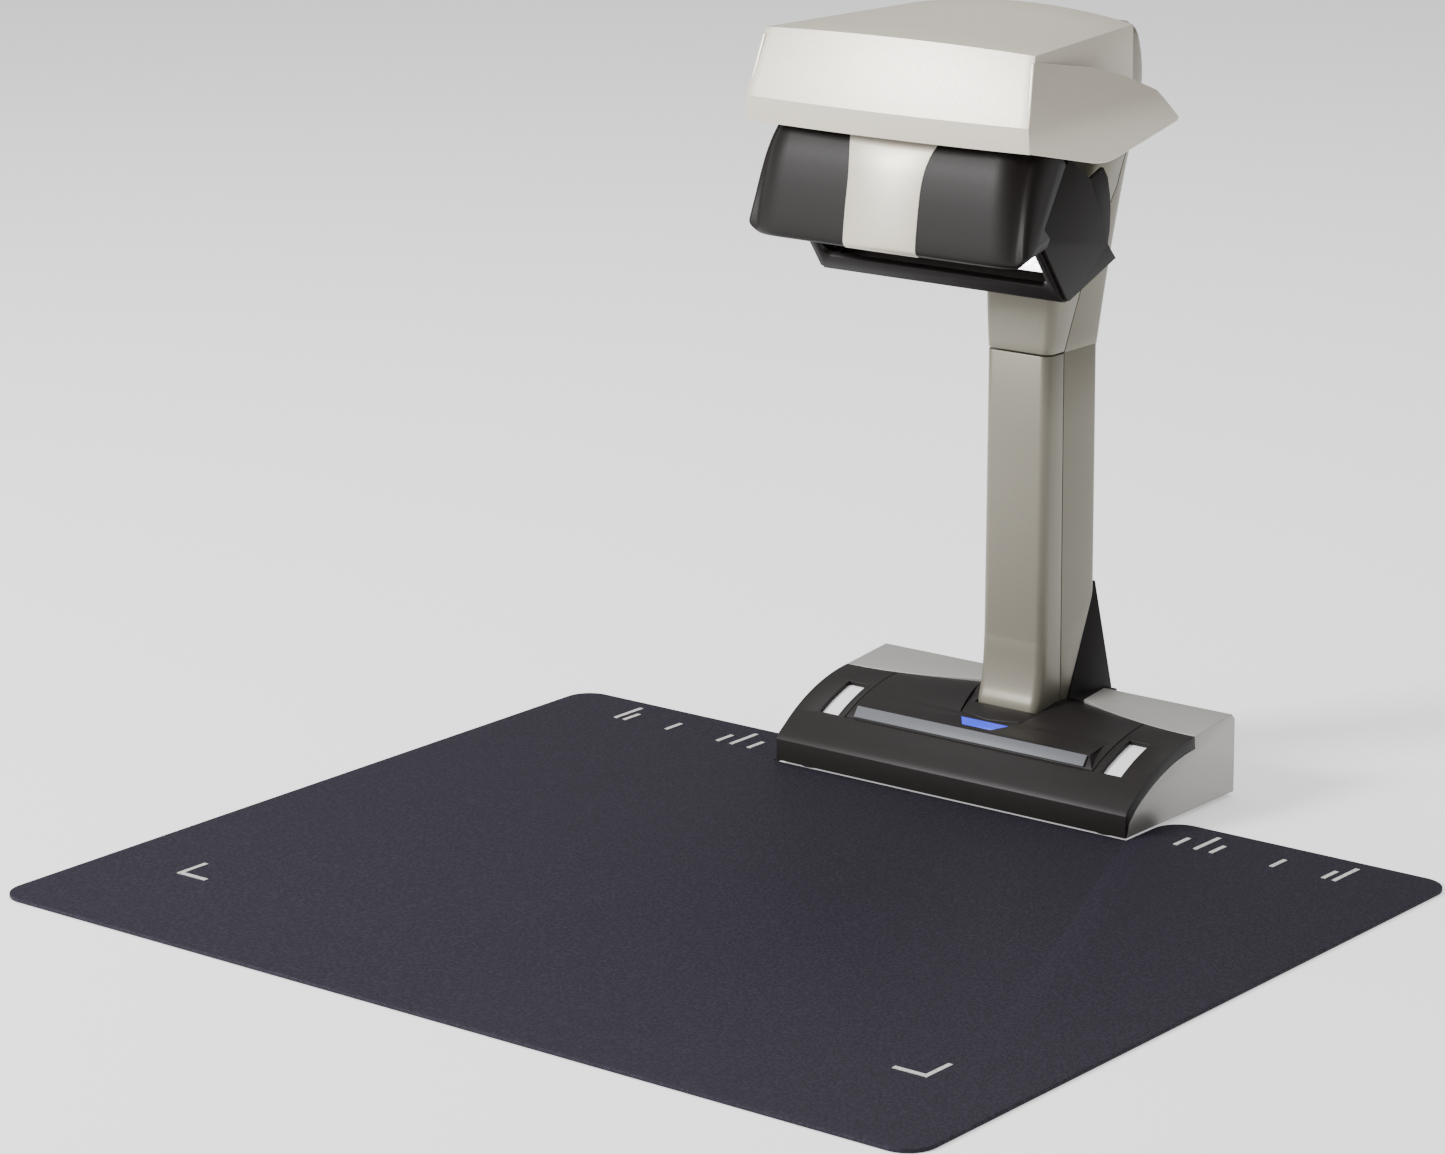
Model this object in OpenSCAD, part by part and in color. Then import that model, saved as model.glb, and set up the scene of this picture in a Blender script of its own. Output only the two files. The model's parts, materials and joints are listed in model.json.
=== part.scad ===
// Overhead book scanner: a weighted base behind a dark mat, a slim column,
// and a hood under which a scanning head swings to sweep the page.
// Y = 0 of the drawing is the line on which the page's rear edge lies;
// the finished part is shifted so that its origin is at the middle of its footprint.

/* [Mat] */
// Width of the background mat
mat_w = 523.5; // [430:0.5:640]
// From the page line to the mat's front edge
mat_reach = 385; // [320:1:480]
// From the page line back to the mat's rear edge
mat_tuck = 30; // [20:1:45]
// Thickness of the mat
mat_t = 2; // [1:0.1:3]
// Radius of the mat's corners
mat_corner_r = 14; // [4:1:30]
// Gap between the mat's notch and the base
notch_gap = 1; // [0.5:0.1:3]

/* [Base] */
// Width of the base
base_w = 210; // [180:1:260]
// From the page line forward to the base's front face
base_lip = 7; // [4:0.5:10]
// From the page line back to the rear of the silver base cover
base_back = 87; // [80:1:110]
// Height of the base's rear top edge
base_h = 42; // [40:0.5:48]
// Height of the front face, where the slope of the bezel begins
lip_h = 13; // [10:0.5:15]
// Height of the bezel where it crosses the page line
slope_h = 19.5; // [18:0.5:22]
// Height of the bezel's crest
crest_h = 38.9; // [37:0.1:40]
// Wall of the base covers
base_wall = 2.2; // [1.6:0.1:3]
// Height of the rubber feet
foot_h = 2; // [1:0.1:4]
// Radius of the rubber feet
foot_r = 8; // [5:0.5:11]

/* [Buttons] */
// Half width of the scan panel
panel_hw = 74.4; // [64:0.2:76]
// Front edge of the scan panel, from the page line
panel_front = 9.9; // [9:0.1:12]
// How far the strip's upper edge stands above the bezel
panel_raise = 3.4; // [2:0.1:5]
// Depth of the strip, front to back
strip_d = 4.1; // [3:0.1:6]
// Travel of the scan panel at its front edge
scan_travel = 1.5; // [0.8:0.1:1.8]
// Travel of the stop button
stop_travel = 1; // [0.6:0.1:1.5]
// Half width of the stop button's front edge
stop_hw = 17.5; // [14:0.5:20]
// Gap around the buttons
button_gap = 0.5; // [0.3:0.1:0.8]

/* [Column] */
// Width of the column
col_w = 37.4; // [32:0.2:46]
// Front face of the column, from the page line
col_front = 48.8; // [48:0.2:54]
// Rear face of the column, from the page line
col_back = 93; // [92:0.5:100]
// Height of the seam between column and neck
seam_h = 214; // [180:1:250]
// Wall of the column and neck covers
col_wall = 2.2; // [1.6:0.1:3]
// Width of the gap at each cover seam
seam_gap = 0.4; // [0.2:0.1:0.8]
// Side seam, from the page line
side_seam = 62.5; // [60:0.5:65]

/* [Hood] */
// Height of the roof's rear edge
hood_h = 378.4; // [340:0.2:430]
// Rise of the roof's crown over its edges
hood_crown = 5.5; // [3:0.5:9]
// Rise of the roof's front edge over its corners
front_crown = 2.2; // [1:0.2:5]
// Half width of the hood at its front crease
hood_hw = 81.2; // [78.5:0.1:95]
// Half width of the roof at its rear edge
hood_rear_hw = 63.1; // [62.5:0.1:72]
// Front crease of the hood, forward of the page line
hood_reach = 57.8; // [57:0.1:75]
// Rear edge of the roof, from the page line
hood_back = 52; // [50:0.5:54]
// Wall of the hood
hood_wall = 2.4; // [1.8:0.1:3]
// Forward bow of the hood's front face
hood_bow = 4; // [1:0.5:6]

/* [Scanning head] */
// Distance of the swing axis forward of the page line
pivot_fwd = 10; // [9:0.5:12]
// Swing axis below the roof's rear edge
pivot_drop = 46.4; // [45:0.2:48]
// Half width of the head
head_hw = 75; // [73:0.2:76]
// How far the front cover's ends bulge beyond the half width
cover_bulge = 2; // [0:0.2:2.4]
// Widening of the front cover for each mm of its height, as a share of its width
cover_flare = 0.0008; // [0:0.0001:0.001]
// Angle of the optical axis forward of straight down, at rest
aim = 36; // [30:1:40]
// Furthest swing forward of rest
swing_fwd = 12; // [4:1:12]
// Furthest swing back of rest, to the parked position
swing_back = 42; // [36:1:42]
// Wall of the head's covers
head_wall = 2.2; // [1.6:0.1:2.8]
// Radius of the pivot pins
pin_r = 4; // [3:0.1:5]
// Radial running clearance of every shaft
run_gap = 0.05; // [0.02:0.01:0.1]

/* [Drive] */
// Teeth of a full sector gear
sector_z = 75; // [73:1:77]
// Teeth of the pinion on the reduction gear
pinion_z = 12; // [11:1:13]
// Teeth of the reduction gear
reduction_z = 48; // [44:1:50]
// Teeth of the motor pinion
motor_z = 12; // [11:1:14]

/* [Hidden] */
$fn = 48;
eps = 0.01;
front_y = -base_lip;
// The bezel's sloping top is one arc whose crest is level
crest_y = 58;
bezel_r = (pow(crest_y, 2) + pow(crest_h - slope_h, 2)) / (2 * (crest_h - slope_h));
function arc_z(y, drop = 0) =
    crest_h - bezel_r + sqrt(pow(bezel_r - drop, 2) - pow(y - crest_y, 2));
// The scan panel rises in a straight line from its strip to the crest
panel_slope = (crest_h - (arc_z(panel_front + strip_d) + panel_raise))
    / (crest_y - panel_front - strip_d);
function panel_z(y) = crest_h - (crest_y - y) * panel_slope;
// Plan line where the black bezel meets the silver top plates
plate_inner = 30;
plate_mid_y = 67;
plate_side_y = 51.5;
function plate_line(x) = plate_mid_y - (plate_mid_y - plate_side_y)
    * (1 - pow(1 - max(0, abs(x) - plate_inner) / (base_w / 2 - plate_inner), 2));
side_drop = 6.5;
leg_back = base_back + 11;
pivot_y = -pivot_fwd;
pivot_z = hood_h - pivot_drop;
// Column foot and panel hardware
foot_top = crest_h + 0.1;
foot_fwd = col_front - 6.8;
deck_drop = 7;
deck_t = 2;
deck_back = 60;
foot_seat = crest_h - deck_drop;
hinge_y = crest_y - 2;
hinge_z = crest_h - 4.6;
hinge_pin_r = 1;
hinge_xs = [52, 39];
press_angle = asin(scan_travel / (hinge_y - panel_front));
stop_front = 28;
stop_rear = foot_fwd - 0.6;
collar_flare = 0.36;
// Reference sheets
ref_in = 79;
ref_out = 90.7;
ref_y = [9.7, 34.6];
// Inner frame
tube_w = 26;
tube_y = [69, 87];
tube_t = 2;
tray_z = foot_h;
tray_t = 2;
tube_foot_z = tray_z + tray_t;
board_top = tray_z + tray_t + 5.6;
tube_top = hood_h - 58;
bracket_in = head_hw - 16.5;
bracket_t = 2;
// Gear train, angles measured up from straight back
mesh_angle = 35;
motor_angle = -10;
// Gear modules of the two stages
sector_m = 0.8;
motor_m = 0.5;
sector_r = sector_m * sector_z / 2;
pinion_r = sector_m * pinion_z / 2;
reduction_r = motor_m * reduction_z / 2;
motor_pr = motor_m * motor_z / 2;
gear_y = pivot_y + (sector_r + pinion_r) * cos(mesh_angle);
gear_z = pivot_z + (sector_r + pinion_r) * sin(mesh_angle);
motor_y = gear_y + (reduction_r + motor_pr) * cos(motor_angle);
motor_cz = gear_z + (reduction_r + motor_pr) * sin(motor_angle);
chassis_z = max(hood_h - 10.4, pivot_z + sector_r + 1.4);
ear_x = [head_hw - 25, head_hw - 21];
sector_x = [0.5 - ear_x[0], 3.5 - ear_x[0]];
reduction_x = [sector_x[1] + 0.6, sector_x[1] + 2.6];
motor_x = [reduction_x[1] + 3.9, reduction_x[1] + 21.9];
motor_r = 12.5;
spindle_r = 1.5;
rotor_r = 1;
plate_x = [reduction_x[1] + 1.4, reduction_x[1] + 2.9];
// The whole part stands with its origin at the middle of its footprint
shift_y = (mat_reach - leg_back) / 2;

black = [0.13, 0.12, 0.12];
silver = [0.86, 0.85, 0.81];
steel = [0.6, 0.6, 0.62];

// ---------- helpers ----------

module place() {
    translate([0, shift_y, 0])
        children();
}

// Carries what is drawn with the optical axis straight down to the rest pose
module on_head() {
    translate([0, pivot_y, pivot_z])
        rotate([-aim, 0, 0])
            children();
}

// Extrudes an outline drawn in Y and Z, between two X values
module across(x0, x1) {
    translate([x0, 0, 0])
        rotate([90, 0, 90])
            linear_extrude(x1 - x0)
                children();
}

module mirrored() {
    children();
    mirror([1, 0, 0])
        children();
}

module block(low, high) {
    translate(low)
        cube(high - low);
}

module x_rod(r, x0, x1, y, z) {
    translate([x0, y, z])
        rotate([0, 90, 0])
            cylinder(r = r, h = x1 - x0);
}

module rounded_plate(x0, x1, y0, y1, r, h) {
    linear_extrude(h)
        union() {
            translate([x0 + r, y0])
                square([x1 - x0 - 2 * r, y1 - y0]);
            translate([x0, y0 + r])
                square([x1 - x0, y1 - y0 - 2 * r]);
            for (x = [x0 + r, x1 - r], y = [y0 + r, y1 - r])
                translate([x, y])
                    circle(r);
        }
}

// A solid through rings that all have the same number of points
module loft(rings) {
    n = len(rings[0]);
    m = len(rings);
    polyhedron(
        points = [for (ring = rings) each ring],
        faces = concat(
            [[for (i = [0:n - 1]) i]],
            [[for (i = [n - 1:-1:0]) (m - 1) * n + i]],
            [for (k = [0:m - 2], i = [0:n - 1])
                [k * n + i, (k + 1) * n + i, (k + 1) * n + (i + 1) % n]],
            [for (k = [0:m - 2], i = [0:n - 1])
                [k * n + i, (k + 1) * n + (i + 1) % n, k * n + (i + 1) % n]]),
        convexity = 6);
}

// A level ring with rounded corners: half width, front and rear Y, corner radius
function level_ring(z, hw, y0, y1, r, crown = 0) = [
    for (c = [[1, 1], [-1, 1], [-1, -1], [1, -1]], k = [0:4])
        let (
            a = (c[0] > 0 ? (c[1] > 0 ? 0 : 270) : (c[1] > 0 ? 90 : 180)) + k * 22.5,
            x = c[0] * (hw - r) + r * cos(a),
            y = (c[1] > 0 ? y1 - r : y0 + r) + r * sin(a))
        [x, y, z + crown * (1 - pow(x / hw, 2))]];

module spur(m, z, h, bore, phase = 0) {
    pitch = m * z / 2;
    difference() {
        linear_extrude(h)
            polygon([for (i = [0:z - 1], k = [0:3])
                let (
                    a = phase + (i + [-0.3, -0.13, 0.13, 0.3][k]) * 360 / z,
                    r = pitch + (k == 1 || k == 2 ? 0.85 : -1.05) * m)
                [r * cos(a), r * sin(a)]]);
        translate([0, 0, -1])
            cylinder(r = bore, h = h + 2);
    }
}

// Turns a gear drawn about Z so that its axis is X and its phase counts up from +Y
module gear_at(x, y, z) {
    translate([x, y, z])
        rotate([90, 0, 90])
            children();
}

// ---------- mat ----------

module background_mat() {
    color([0.2, 0.19, 0.24])
        place()
            difference() {
                rounded_plate(-mat_w / 2, mat_w / 2, -mat_reach, mat_tuck, mat_corner_r, mat_t);
                block([-notch_hw, front_y - notch_gap, -1], [notch_hw, mat_tuck + 1, mat_t + 1]);
                // The notch's outer corners are rounded like the mat's
                mirrored()
                    difference() {
                        block([notch_hw - 1, mat_tuck - mat_corner_r, -1],
                            [notch_hw + mat_corner_r, mat_tuck + 1, mat_t + 1]);
                        translate([notch_hw + mat_corner_r, mat_tuck - mat_corner_r, -2])
                            cylinder(r = mat_corner_r, h = mat_t + 4);
                    }
            }
}
notch_hw = base_w / 2 + notch_gap;

// Half widths of the common page sizes that the marks stand for
page_halves = [[215.9, 21], [210, 12], [182, 12], [148.5, 12], [139.7, 21], [128.5, 12]];
guide_t = 0.3;
guide_w = 2.4;
corner_mark = [215.9, -315, 18];

module mat_guides() {
    color("white")
        place()
            translate([0, 0, mat_t])
                mirrored() {
                    for (p = page_halves)
                        block([p[0] - guide_w / 2, 0, 0], [p[0] + guide_w / 2, p[1], guide_t]);
                    block([corner_mark[0] - corner_mark[2], corner_mark[1], 0],
                        [corner_mark[0], corner_mark[1] + guide_w, guide_t]);
                    block([corner_mark[0] - guide_w, corner_mark[1], 0],
                        [corner_mark[0], corner_mark[1] + corner_mark[2], guide_t]);
                }
}

// ---------- base ----------

module rubber_feet() {
    color("dimgray")
        place()
            mirrored()
                for (y = [front_y + foot_r + 4, base_back - foot_r - 6])
                    translate([base_w / 2 - foot_r - 8, y, 0])
                        cylinder(r = foot_r, h = foot_h);
}

tray_hw = base_w / 2 - base_wall - 0.2;
tray_front = front_y + base_wall + 0.2;
tray_back = base_back - base_wall - 0.2;

module base_tray() {
    color(black)
        place()
            difference() {
                union() {
                    block([-tray_hw, tray_front, tray_z], [tray_hw, tray_back, tray_z + tray_t]);
                    block([-plate_inner + 3, tray_back - 1, tray_z],
                        [plate_inner - 3, leg_back - 3, tray_z + tray_t]);
                    for (x = board_posts[0], y = board_posts[1])
                        translate([x, y, tray_z])
                            cylinder(r = 2.5, h = board_top - 1.6 - tray_z);
                    // Posts that the covers screw onto
                    for (x = [-post_x, post_x], y = post_ys)
                        translate([x, y, tray_z])
                            cylinder(r = 3.5, h = 9);
                }
                for (x = [-post_x, post_x], y = post_ys)
                    translate([x, y, tray_z - 1])
                        cylinder(r = 1.2, h = 20);
                for (p = tube_bolts)
                    translate([p[0], p[1], tray_z - 1])
                        cylinder(r = 1.6, h = 10);
            }
}
post_x = base_w / 2 - 8;
post_ys = [22, 58];

module tray_screws() {
    color(steel)
        place()
            for (x = [-post_x, post_x], y = post_ys)
                translate([x, y, tray_z - 0.8]) {
                    cylinder(r = 2.4, h = 0.8);
                    cylinder(r = 1.15, h = 9);
                }
}

module ballast_plates() {
    color(steel)
        place()
            difference() {
                block([-base_w / 2 + 17, 14, tray_z + tray_t], [-plate_inner - 2, 80, tray_z + tray_t + 9]);
                translate([-deck_post[0], deck_post[1], 0])
                    cylinder(r = deck_post[2] + 0.5, h = base_h);
            }
}

// Side outline of the silver cover; the bezel sits in its stepped front
module cover_outline(inset = 0) {
    polygon(concat(
        [[front_y + 1.5 + inset, tray_z - (inset > 0 ? 1 : 0)], [front_y + 3.5 + inset, lip_h - 4 - inset]],
        [for (y = [2:5:52]) [y + inset, arc_z(y) - side_drop - inset]],
        [[plate_side_y + inset, crest_h - 0.2 - inset], [base_back - 3 - inset, base_h - inset],
            [base_back - inset, base_h - 3 - inset], [base_back - inset, tray_z - (inset > 0 ? 1 : 0)]]));
}

module base_cover() {
    color(silver)
        place()
            difference() {
                across(-base_w / 2, base_w / 2)
                    cover_outline();
                across(-base_w / 2 + base_wall, base_w / 2 - base_wall)
                    cover_outline(base_wall);
                // Everything in front of the curved line belongs to the bezel
                translate([0, 0, tray_z - 1])
                    linear_extrude(base_h + 5)
                        polygon(concat(
                            [[base_w / 2 - base_wall, front_y - 5], [-base_w / 2 + base_wall, front_y - 5]],
                            [for (k = [-16:16])
                                let (x = k / 16 * (base_w / 2 - base_wall)) [x, plate_line(x)]]));
                // The column and its leg stand between the two plates
                block([-plate_inner, plate_mid_y - 5, tray_z - 1],
                    [plate_inner, base_back + 1, base_h + 5]);
                translate([inlet_x, base_back + 1, inlet_z])
                    rotate([90, 0, 0])
                        cylinder(r = 4.6, h = base_wall + 2);
                block([usb_x - 6.3, base_back - base_wall - 1, usb_z - 5.8],
                    [usb_x + 6.3, base_back + 1, usb_z + 5.8]);
                block([-lock_x - 3.7, base_back - base_wall - 1, inlet_z - 1.7],
                    [-lock_x + 3.7, base_back + 1, inlet_z + 1.7]);
            }
}
inlet_x = 74;
inlet_z = 16;
usb_x = 50;
usb_z = board_top + 5.5;
lock_x = 84;

// Side outline of the black bezel, or of the hollow under it
module bezel_outline(inset = 0) {
    low = tray_z - (inset > 0 ? 1 : 0);
    polygon(concat(
        [[front_y + inset, low], [front_y + inset, lip_h - inset / 4],
            [front_y + 1.7 + inset, lip_h + 2.6 - inset * 0.7]],
        [for (k = [0:17]) let (y = k * 4 + inset * 1.3) [y, arc_z(y, inset)]],
        [[68 + inset * 1.3, low]]));
}

module bezel_plan(gap = 0) {
    polygon(concat(
        [[base_w / 2, front_y - 1], [-base_w / 2, front_y - 1]],
        [for (k = [-16:16]) let (x = k / 16 * base_w / 2) [x, plate_line(x) - gap]]));
}

// Plan outline of the opening around the stop button and the column's foot
module collar_plan(grow = 0) {
    w0 = stop_hw + grow;
    w1 = stop_hw + grow + (crest_y - stop_front) * collar_flare;
    polygon([[-w0, stop_front + 1.6 - grow], [0, stop_front - 1.6 - grow],
        [w0, stop_front + 1.6 - grow], [w1, crest_y], [w1, plate_mid_y + 1], [-w1, plate_mid_y + 1],
        [-w1, crest_y]]);
}

module front_bezel() {
    color(black)
        place()
            difference() {
                intersection() {
                    across(-base_w / 2, base_w / 2)
                        bezel_outline();
                    linear_extrude(base_h)
                        bezel_plan(seam_gap);
                }
                across(-base_w / 2 + base_wall, base_w / 2 - base_wall)
                    bezel_outline(base_wall);
                // The sides stop where the silver cover begins
                mirrored()
                    across(base_w / 2 - base_wall - 1, base_w / 2 + 1)
                        polygon(concat(
                            [[front_y + 1.5 - seam_gap, tray_z - 1], [front_y + 3.5 - seam_gap, lip_h - 4 + seam_gap]],
                            [for (y = [2:5:62]) [y, arc_z(y) - side_drop + seam_gap]],
                            [[70, tray_z - 1]]));
                // Opening for the scan panel, up to the column's plate
                block([-panel_hw - button_gap, panel_front - button_gap, tray_z],
                    [panel_hw + button_gap, plate_mid_y + 5, base_h + 5]);
                mirrored()
                    block([ref_in, ref_y[0], tray_z], [ref_out, ref_y[1], base_h + 5]);
            }
}

module reference_sheets() {
    color("white")
        place()
            mirrored()
                across(ref_in - 1.5, ref_out + 1.5)
                    polygon(concat(
                        [for (y = [ref_y[0] - 1.5:3.5:ref_y[1] + 2]) [y, arc_z(y, base_wall + 0.9)]],
                        [for (y = [ref_y[1] + 2:-3.5:ref_y[0] - 1.5]) [y, arc_z(y, base_wall + 0.05)]]));
}

deck_hw = panel_hw + 2;
// Deck posts: place and radius
deck_post = [66, 30, 3];
// Switches under the scan panel, and the one under the stop button
switch_y = 22;
switch_x = 52;
stop_switch_y = 36;

module deck_outline(drop, t) {
    polygon(concat(
        [for (y = [6:6:deck_back]) [y, arc_z(y, drop)]],
        [for (y = [deck_back:-6:6]) [y, arc_z(y, drop + t)]]));
}

module button_deck() {
    color(black)
        place()
            difference() {
                union() {
                    across(-deck_hw, deck_hw)
                        deck_outline(deck_drop, deck_t);
                    mirrored()
                        for (x = hinge_xs)
                            block([x + 2.1, hinge_y - 2.4, arc_z(hinge_y, deck_drop + 1)],
                                [x + 4.4, hinge_y + 2.4, hinge_z + 1.5]);
                    mirrored()
                        translate([deck_post[0], deck_post[1], tray_z + tray_t])
                            cylinder(r = deck_post[2], h = arc_z(deck_post[1], deck_drop + 1) - tray_z - tray_t);
                }
                mirrored() {
                    for (x = hinge_xs)
                        x_rod(hinge_pin_r, x - 5, x + 10, hinge_y, hinge_z);
                    block([panel_hw - 5, plate_side_y, 0], [deck_hw + 1, deck_back + 1, base_h]);
                }
            }
}

module deck_hinge_pins() {
    color(steel)
        place()
            mirrored()
                for (x = hinge_xs)
                    x_rod(hinge_pin_r, x - 2.5, x + 4.4, hinge_y, hinge_z);
}

panel_t = 2.2;
skirt_step = (plate_mid_y + 1 - panel_front) / 14;
strip_hw = panel_hw - 5.4;

module panel_outline() {
    polygon(concat(
        [[panel_front, arc_z(panel_front)], [panel_front + strip_d, panel_z(panel_front + strip_d)],
        [crest_y, crest_h]],
        [for (k = [14:-1:0]) let (y = panel_front + k * (crest_y - panel_front) / 14) [y, arc_z(y, panel_t)]]));
}

module strip_outline(t) {
    s = [strip_d, panel_z(panel_front + strip_d) - arc_z(panel_front)];
    l = norm(s);
    n = [s[1], -s[0]] / l;
    a = [panel_front, arc_z(panel_front)] + s / l * 0.5;
    b = a + s / l * (l - 1);
    polygon([a, b, b - n * t, a - n * t]);
}

window_y = [17.5, 27];
module window_plan(grow = 0) {
    polygon([[-8.5 - grow, window_y[0] - grow], [8.5 + grow, window_y[0] - grow],
        [14.5 + grow, window_y[1] - 2 + grow], [-14.5 - grow, window_y[1] - 2 + grow]]);
}

module panel_front_view() {
    shoulder = strip_hw + 0.6;
    polygon([[-panel_hw, 0], [panel_hw, 0], [panel_hw, arc_z(panel_front) - 1],
        [shoulder, panel_z(panel_front + strip_d)], [shoulder, base_h], [-shoulder, base_h],
        [-shoulder, panel_z(panel_front + strip_d)], [-panel_hw, arc_z(panel_front) - 1]]);
}

module scan_panel() {
    color(black)
        place()
            difference() {
                intersection() {
                    union() {
                        // Raised body with sloping ends
                        intersection() {
                            across(-panel_hw, panel_hw)
                                panel_outline();
                            translate([0, crest_y + 1, 0])
                                rotate([90, 0, 0])
                                    linear_extrude(crest_y + 5)
                                        panel_front_view();
                        }
                        // Level skirt that fills the opening in the bezel
                        across(-panel_hw, panel_hw)
                            polygon(concat(
                                [for (k = [0:14]) let (y = panel_front + k * skirt_step) [y, arc_z(y)]],
                                [for (k = [14:-1:0]) let (y = panel_front + k * skirt_step) [y, arc_z(y, panel_t)]]));
                        // Hinge ears under the rear edge
                        mirrored()
                            for (x = hinge_xs)
                                block([x - 2.5, hinge_y - 2, hinge_z - 2], [x + 1.5, hinge_y + 1.8, crest_h - 1]);
                    }
                    linear_extrude(base_h)
                        bezel_plan(seam_gap);
                }
                mirrored()
                    for (x = hinge_xs)
                        x_rod(hinge_pin_r + run_gap, x - 6, x + 6, hinge_y, hinge_z);
                translate([0, 0, tray_z])
                    linear_extrude(base_h)
                        collar_plan(button_gap);
                translate([0, 0, tray_z])
                    linear_extrude(base_h)
                        window_plan();
                across(-strip_hw, strip_hw)
                    strip_outline(1.2);
            }
}

module scan_strip() {
    color([0.6, 0.61, 0.64])
        place()
            across(-strip_hw, strip_hw)
                strip_outline(1.2);
}

module status_window() {
    color([0.25, 0.35, 0.95])
        place()
            intersection() {
                linear_extrude(base_h)
                    window_plan();
                across(-20, 20)
                    polygon([[0, panel_z(0) - 3.4], [0, panel_z(0)], [40, panel_z(40)], [40, panel_z(40) - 3.4]]);
            }
}

module stop_button() {
    color(black)
        place()
            intersection() {
                linear_extrude(base_h)
                    intersection() {
                        collar_plan();
                        translate([-40, 0])
                            square([80, stop_rear]);
                    }
                across(-40, 40)
                    polygon([[0, panel_z(0) - stop_t], [0, panel_z(0) + 0.5], [60, panel_z(60) + 0.5],
                        [60, panel_z(60) - stop_t]]);
            }
}
stop_t = 2.6;

module button_switches() {
    scan_top = arc_z(switch_y - 3, panel_t) - (hinge_y - switch_y + 3) * sin(press_angle) - 0.3;
    stop_top = panel_z(stop_switch_y - 3) - stop_t - stop_travel - 0.1;
    color([0.3, 0.3, 0.32])
        place() {
            for (x = [-switch_x, switch_x])
                block([x - 3, switch_y - 3, arc_z(switch_y + 3, deck_drop)], [x + 3, switch_y + 3, scan_top]);
            block([-3, stop_switch_y - 3, arc_z(stop_switch_y + 3, deck_drop)],
                [3, stop_switch_y + 3, stop_top]);
        }
}

// Half width of the opening around the column's foot
function collar_hw(y) = stop_hw + (min(y, crest_y) - stop_front) * collar_flare;

module column_collar() {
    front = stop_rear + seam_gap;
    back = plate_mid_y - seam_gap;
    color(black)
        place()
            intersection() {
                linear_extrude(base_h)
                    difference() {
                        polygon([[-collar_hw(front), front], [collar_hw(front), front], [collar_hw(back), crest_y],
                            [collar_hw(back), back], [-collar_hw(back), back], [-collar_hw(back), crest_y]]);
                        translate([-col_w / 2 - 0.3, foot_fwd - 1])
                            square([col_w + 0.6, 60]);
                    }
                // From the deck up to the level of the panel
                across(-60, 60)
                    polygon(concat(
                        [for (y = [36:6:deck_back]) [y, arc_z(y, deck_drop)]],
                        [[70, foot_seat], [70, crest_h - 0.5], [crest_y, crest_h], [36, panel_z(36)]]));
            }
}

// ---------- rear leg and sockets ----------

gusset_top = 93.5;
gusset_fwd = 69;
module rear_gusset() {
    color(black)
        place()
            difference() {
                union() {
                    // Floor-to-top leg between the silver plates
                    block([-plate_inner + seam_gap, plate_mid_y, tray_z + tray_t + 0.2],
                        [plate_inner - seam_gap, leg_back - 2, crest_h]);
                    // Wedge that runs up the back of the column
                    hull() {
                        block([-19.4, gusset_fwd, crest_h - 1], [19.4, gusset_fwd + 1, crest_h]);
                        block([-25, leg_back - 1, crest_h - 6], [25, leg_back, crest_h]);
                        block([-17.6, col_back - 0.6, gusset_top - 1], [17.6, col_back + 0.2, gusset_top - 0.4]);
                    }
                }
                // Hollow that the tube and the foot of the column pass through
                block([-col_w / 2 - 0.5, plate_mid_y - 1, 0], [col_w / 2 + 0.5, 89, crest_h - 1.5]);
                block([-col_w / 2 - 0.5, plate_mid_y - 1, 0], [col_w / 2 + 0.5, gusset_fwd, crest_h + 1]);
                block([-tube_w / 2 - 1, plate_mid_y - 1, 0], [tube_w / 2 + 1, tube_y[1] + 1, gusset_top]);
            }
}

module main_board() {
    color([0.1, 0.35, 0.2])
        place()
            difference() {
                block([plate_inner + 2, 20, board_top - 1.6], [base_w / 2 - 16, 84.4, board_top]);
                translate([deck_post[0], deck_post[1], 0])
                    cylinder(r = deck_post[2] + 0.5, h = base_h);
                for (x = board_posts[0], y = board_posts[1])
                    translate([x, y, 0])
                        cylinder(r = 1.2, h = base_h);
            }
}
board_posts = [[38, 84], [26, 78]];

module board_parts() {
    color([0.2, 0.2, 0.22])
        place() {
            block([42, 32, board_top], [56, 46, board_top + 1.6]);
            block([62, 50, board_top], [72, 58, board_top + 1.4]);
            for (x = [74, 82])
                translate([x, 40, board_top])
                    cylinder(r = 3.2, h = 8);
            block([34, 60, board_top], [38, 74, board_top + 4]);
        }
}

module power_inlet() {
    color([0.15, 0.15, 0.16])
        place()
            difference() {
                union() {
                    block([inlet_x - 5.5, base_back - 13, board_top], [inlet_x + 5.5, base_back - base_wall - 0.2, inlet_z + 5]);
                    translate([inlet_x, base_back - 0.3, inlet_z])
                        rotate([90, 0, 0])
                            cylinder(r = 4.4, h = 6);
                }
                difference() {
                    translate([inlet_x, base_back + 1, inlet_z])
                        rotate([90, 0, 0])
                            cylinder(r = 2.8, h = 10);
                    translate([inlet_x, base_back - 0.8, inlet_z])
                        rotate([90, 0, 0])
                            cylinder(r = 1, h = 12);
                }
            }
}

module usb_socket() {
    color([0.75, 0.75, 0.77])
        place()
            difference() {
                block([usb_x - 6, base_back - 15, usb_z - 5.5], [usb_x + 6, base_back - 0.3, usb_z + 5.5]);
                difference() {
                    block([usb_x - 4.3, base_back - 9, usb_z - 3.9], [usb_x + 4.3, base_back + 1, usb_z + 3.9]);
                    block([usb_x - 2.8, base_back - 10, usb_z - 1.6], [usb_x + 2.8, base_back - 1.2, usb_z + 1.6]);
                }
            }
}

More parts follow.
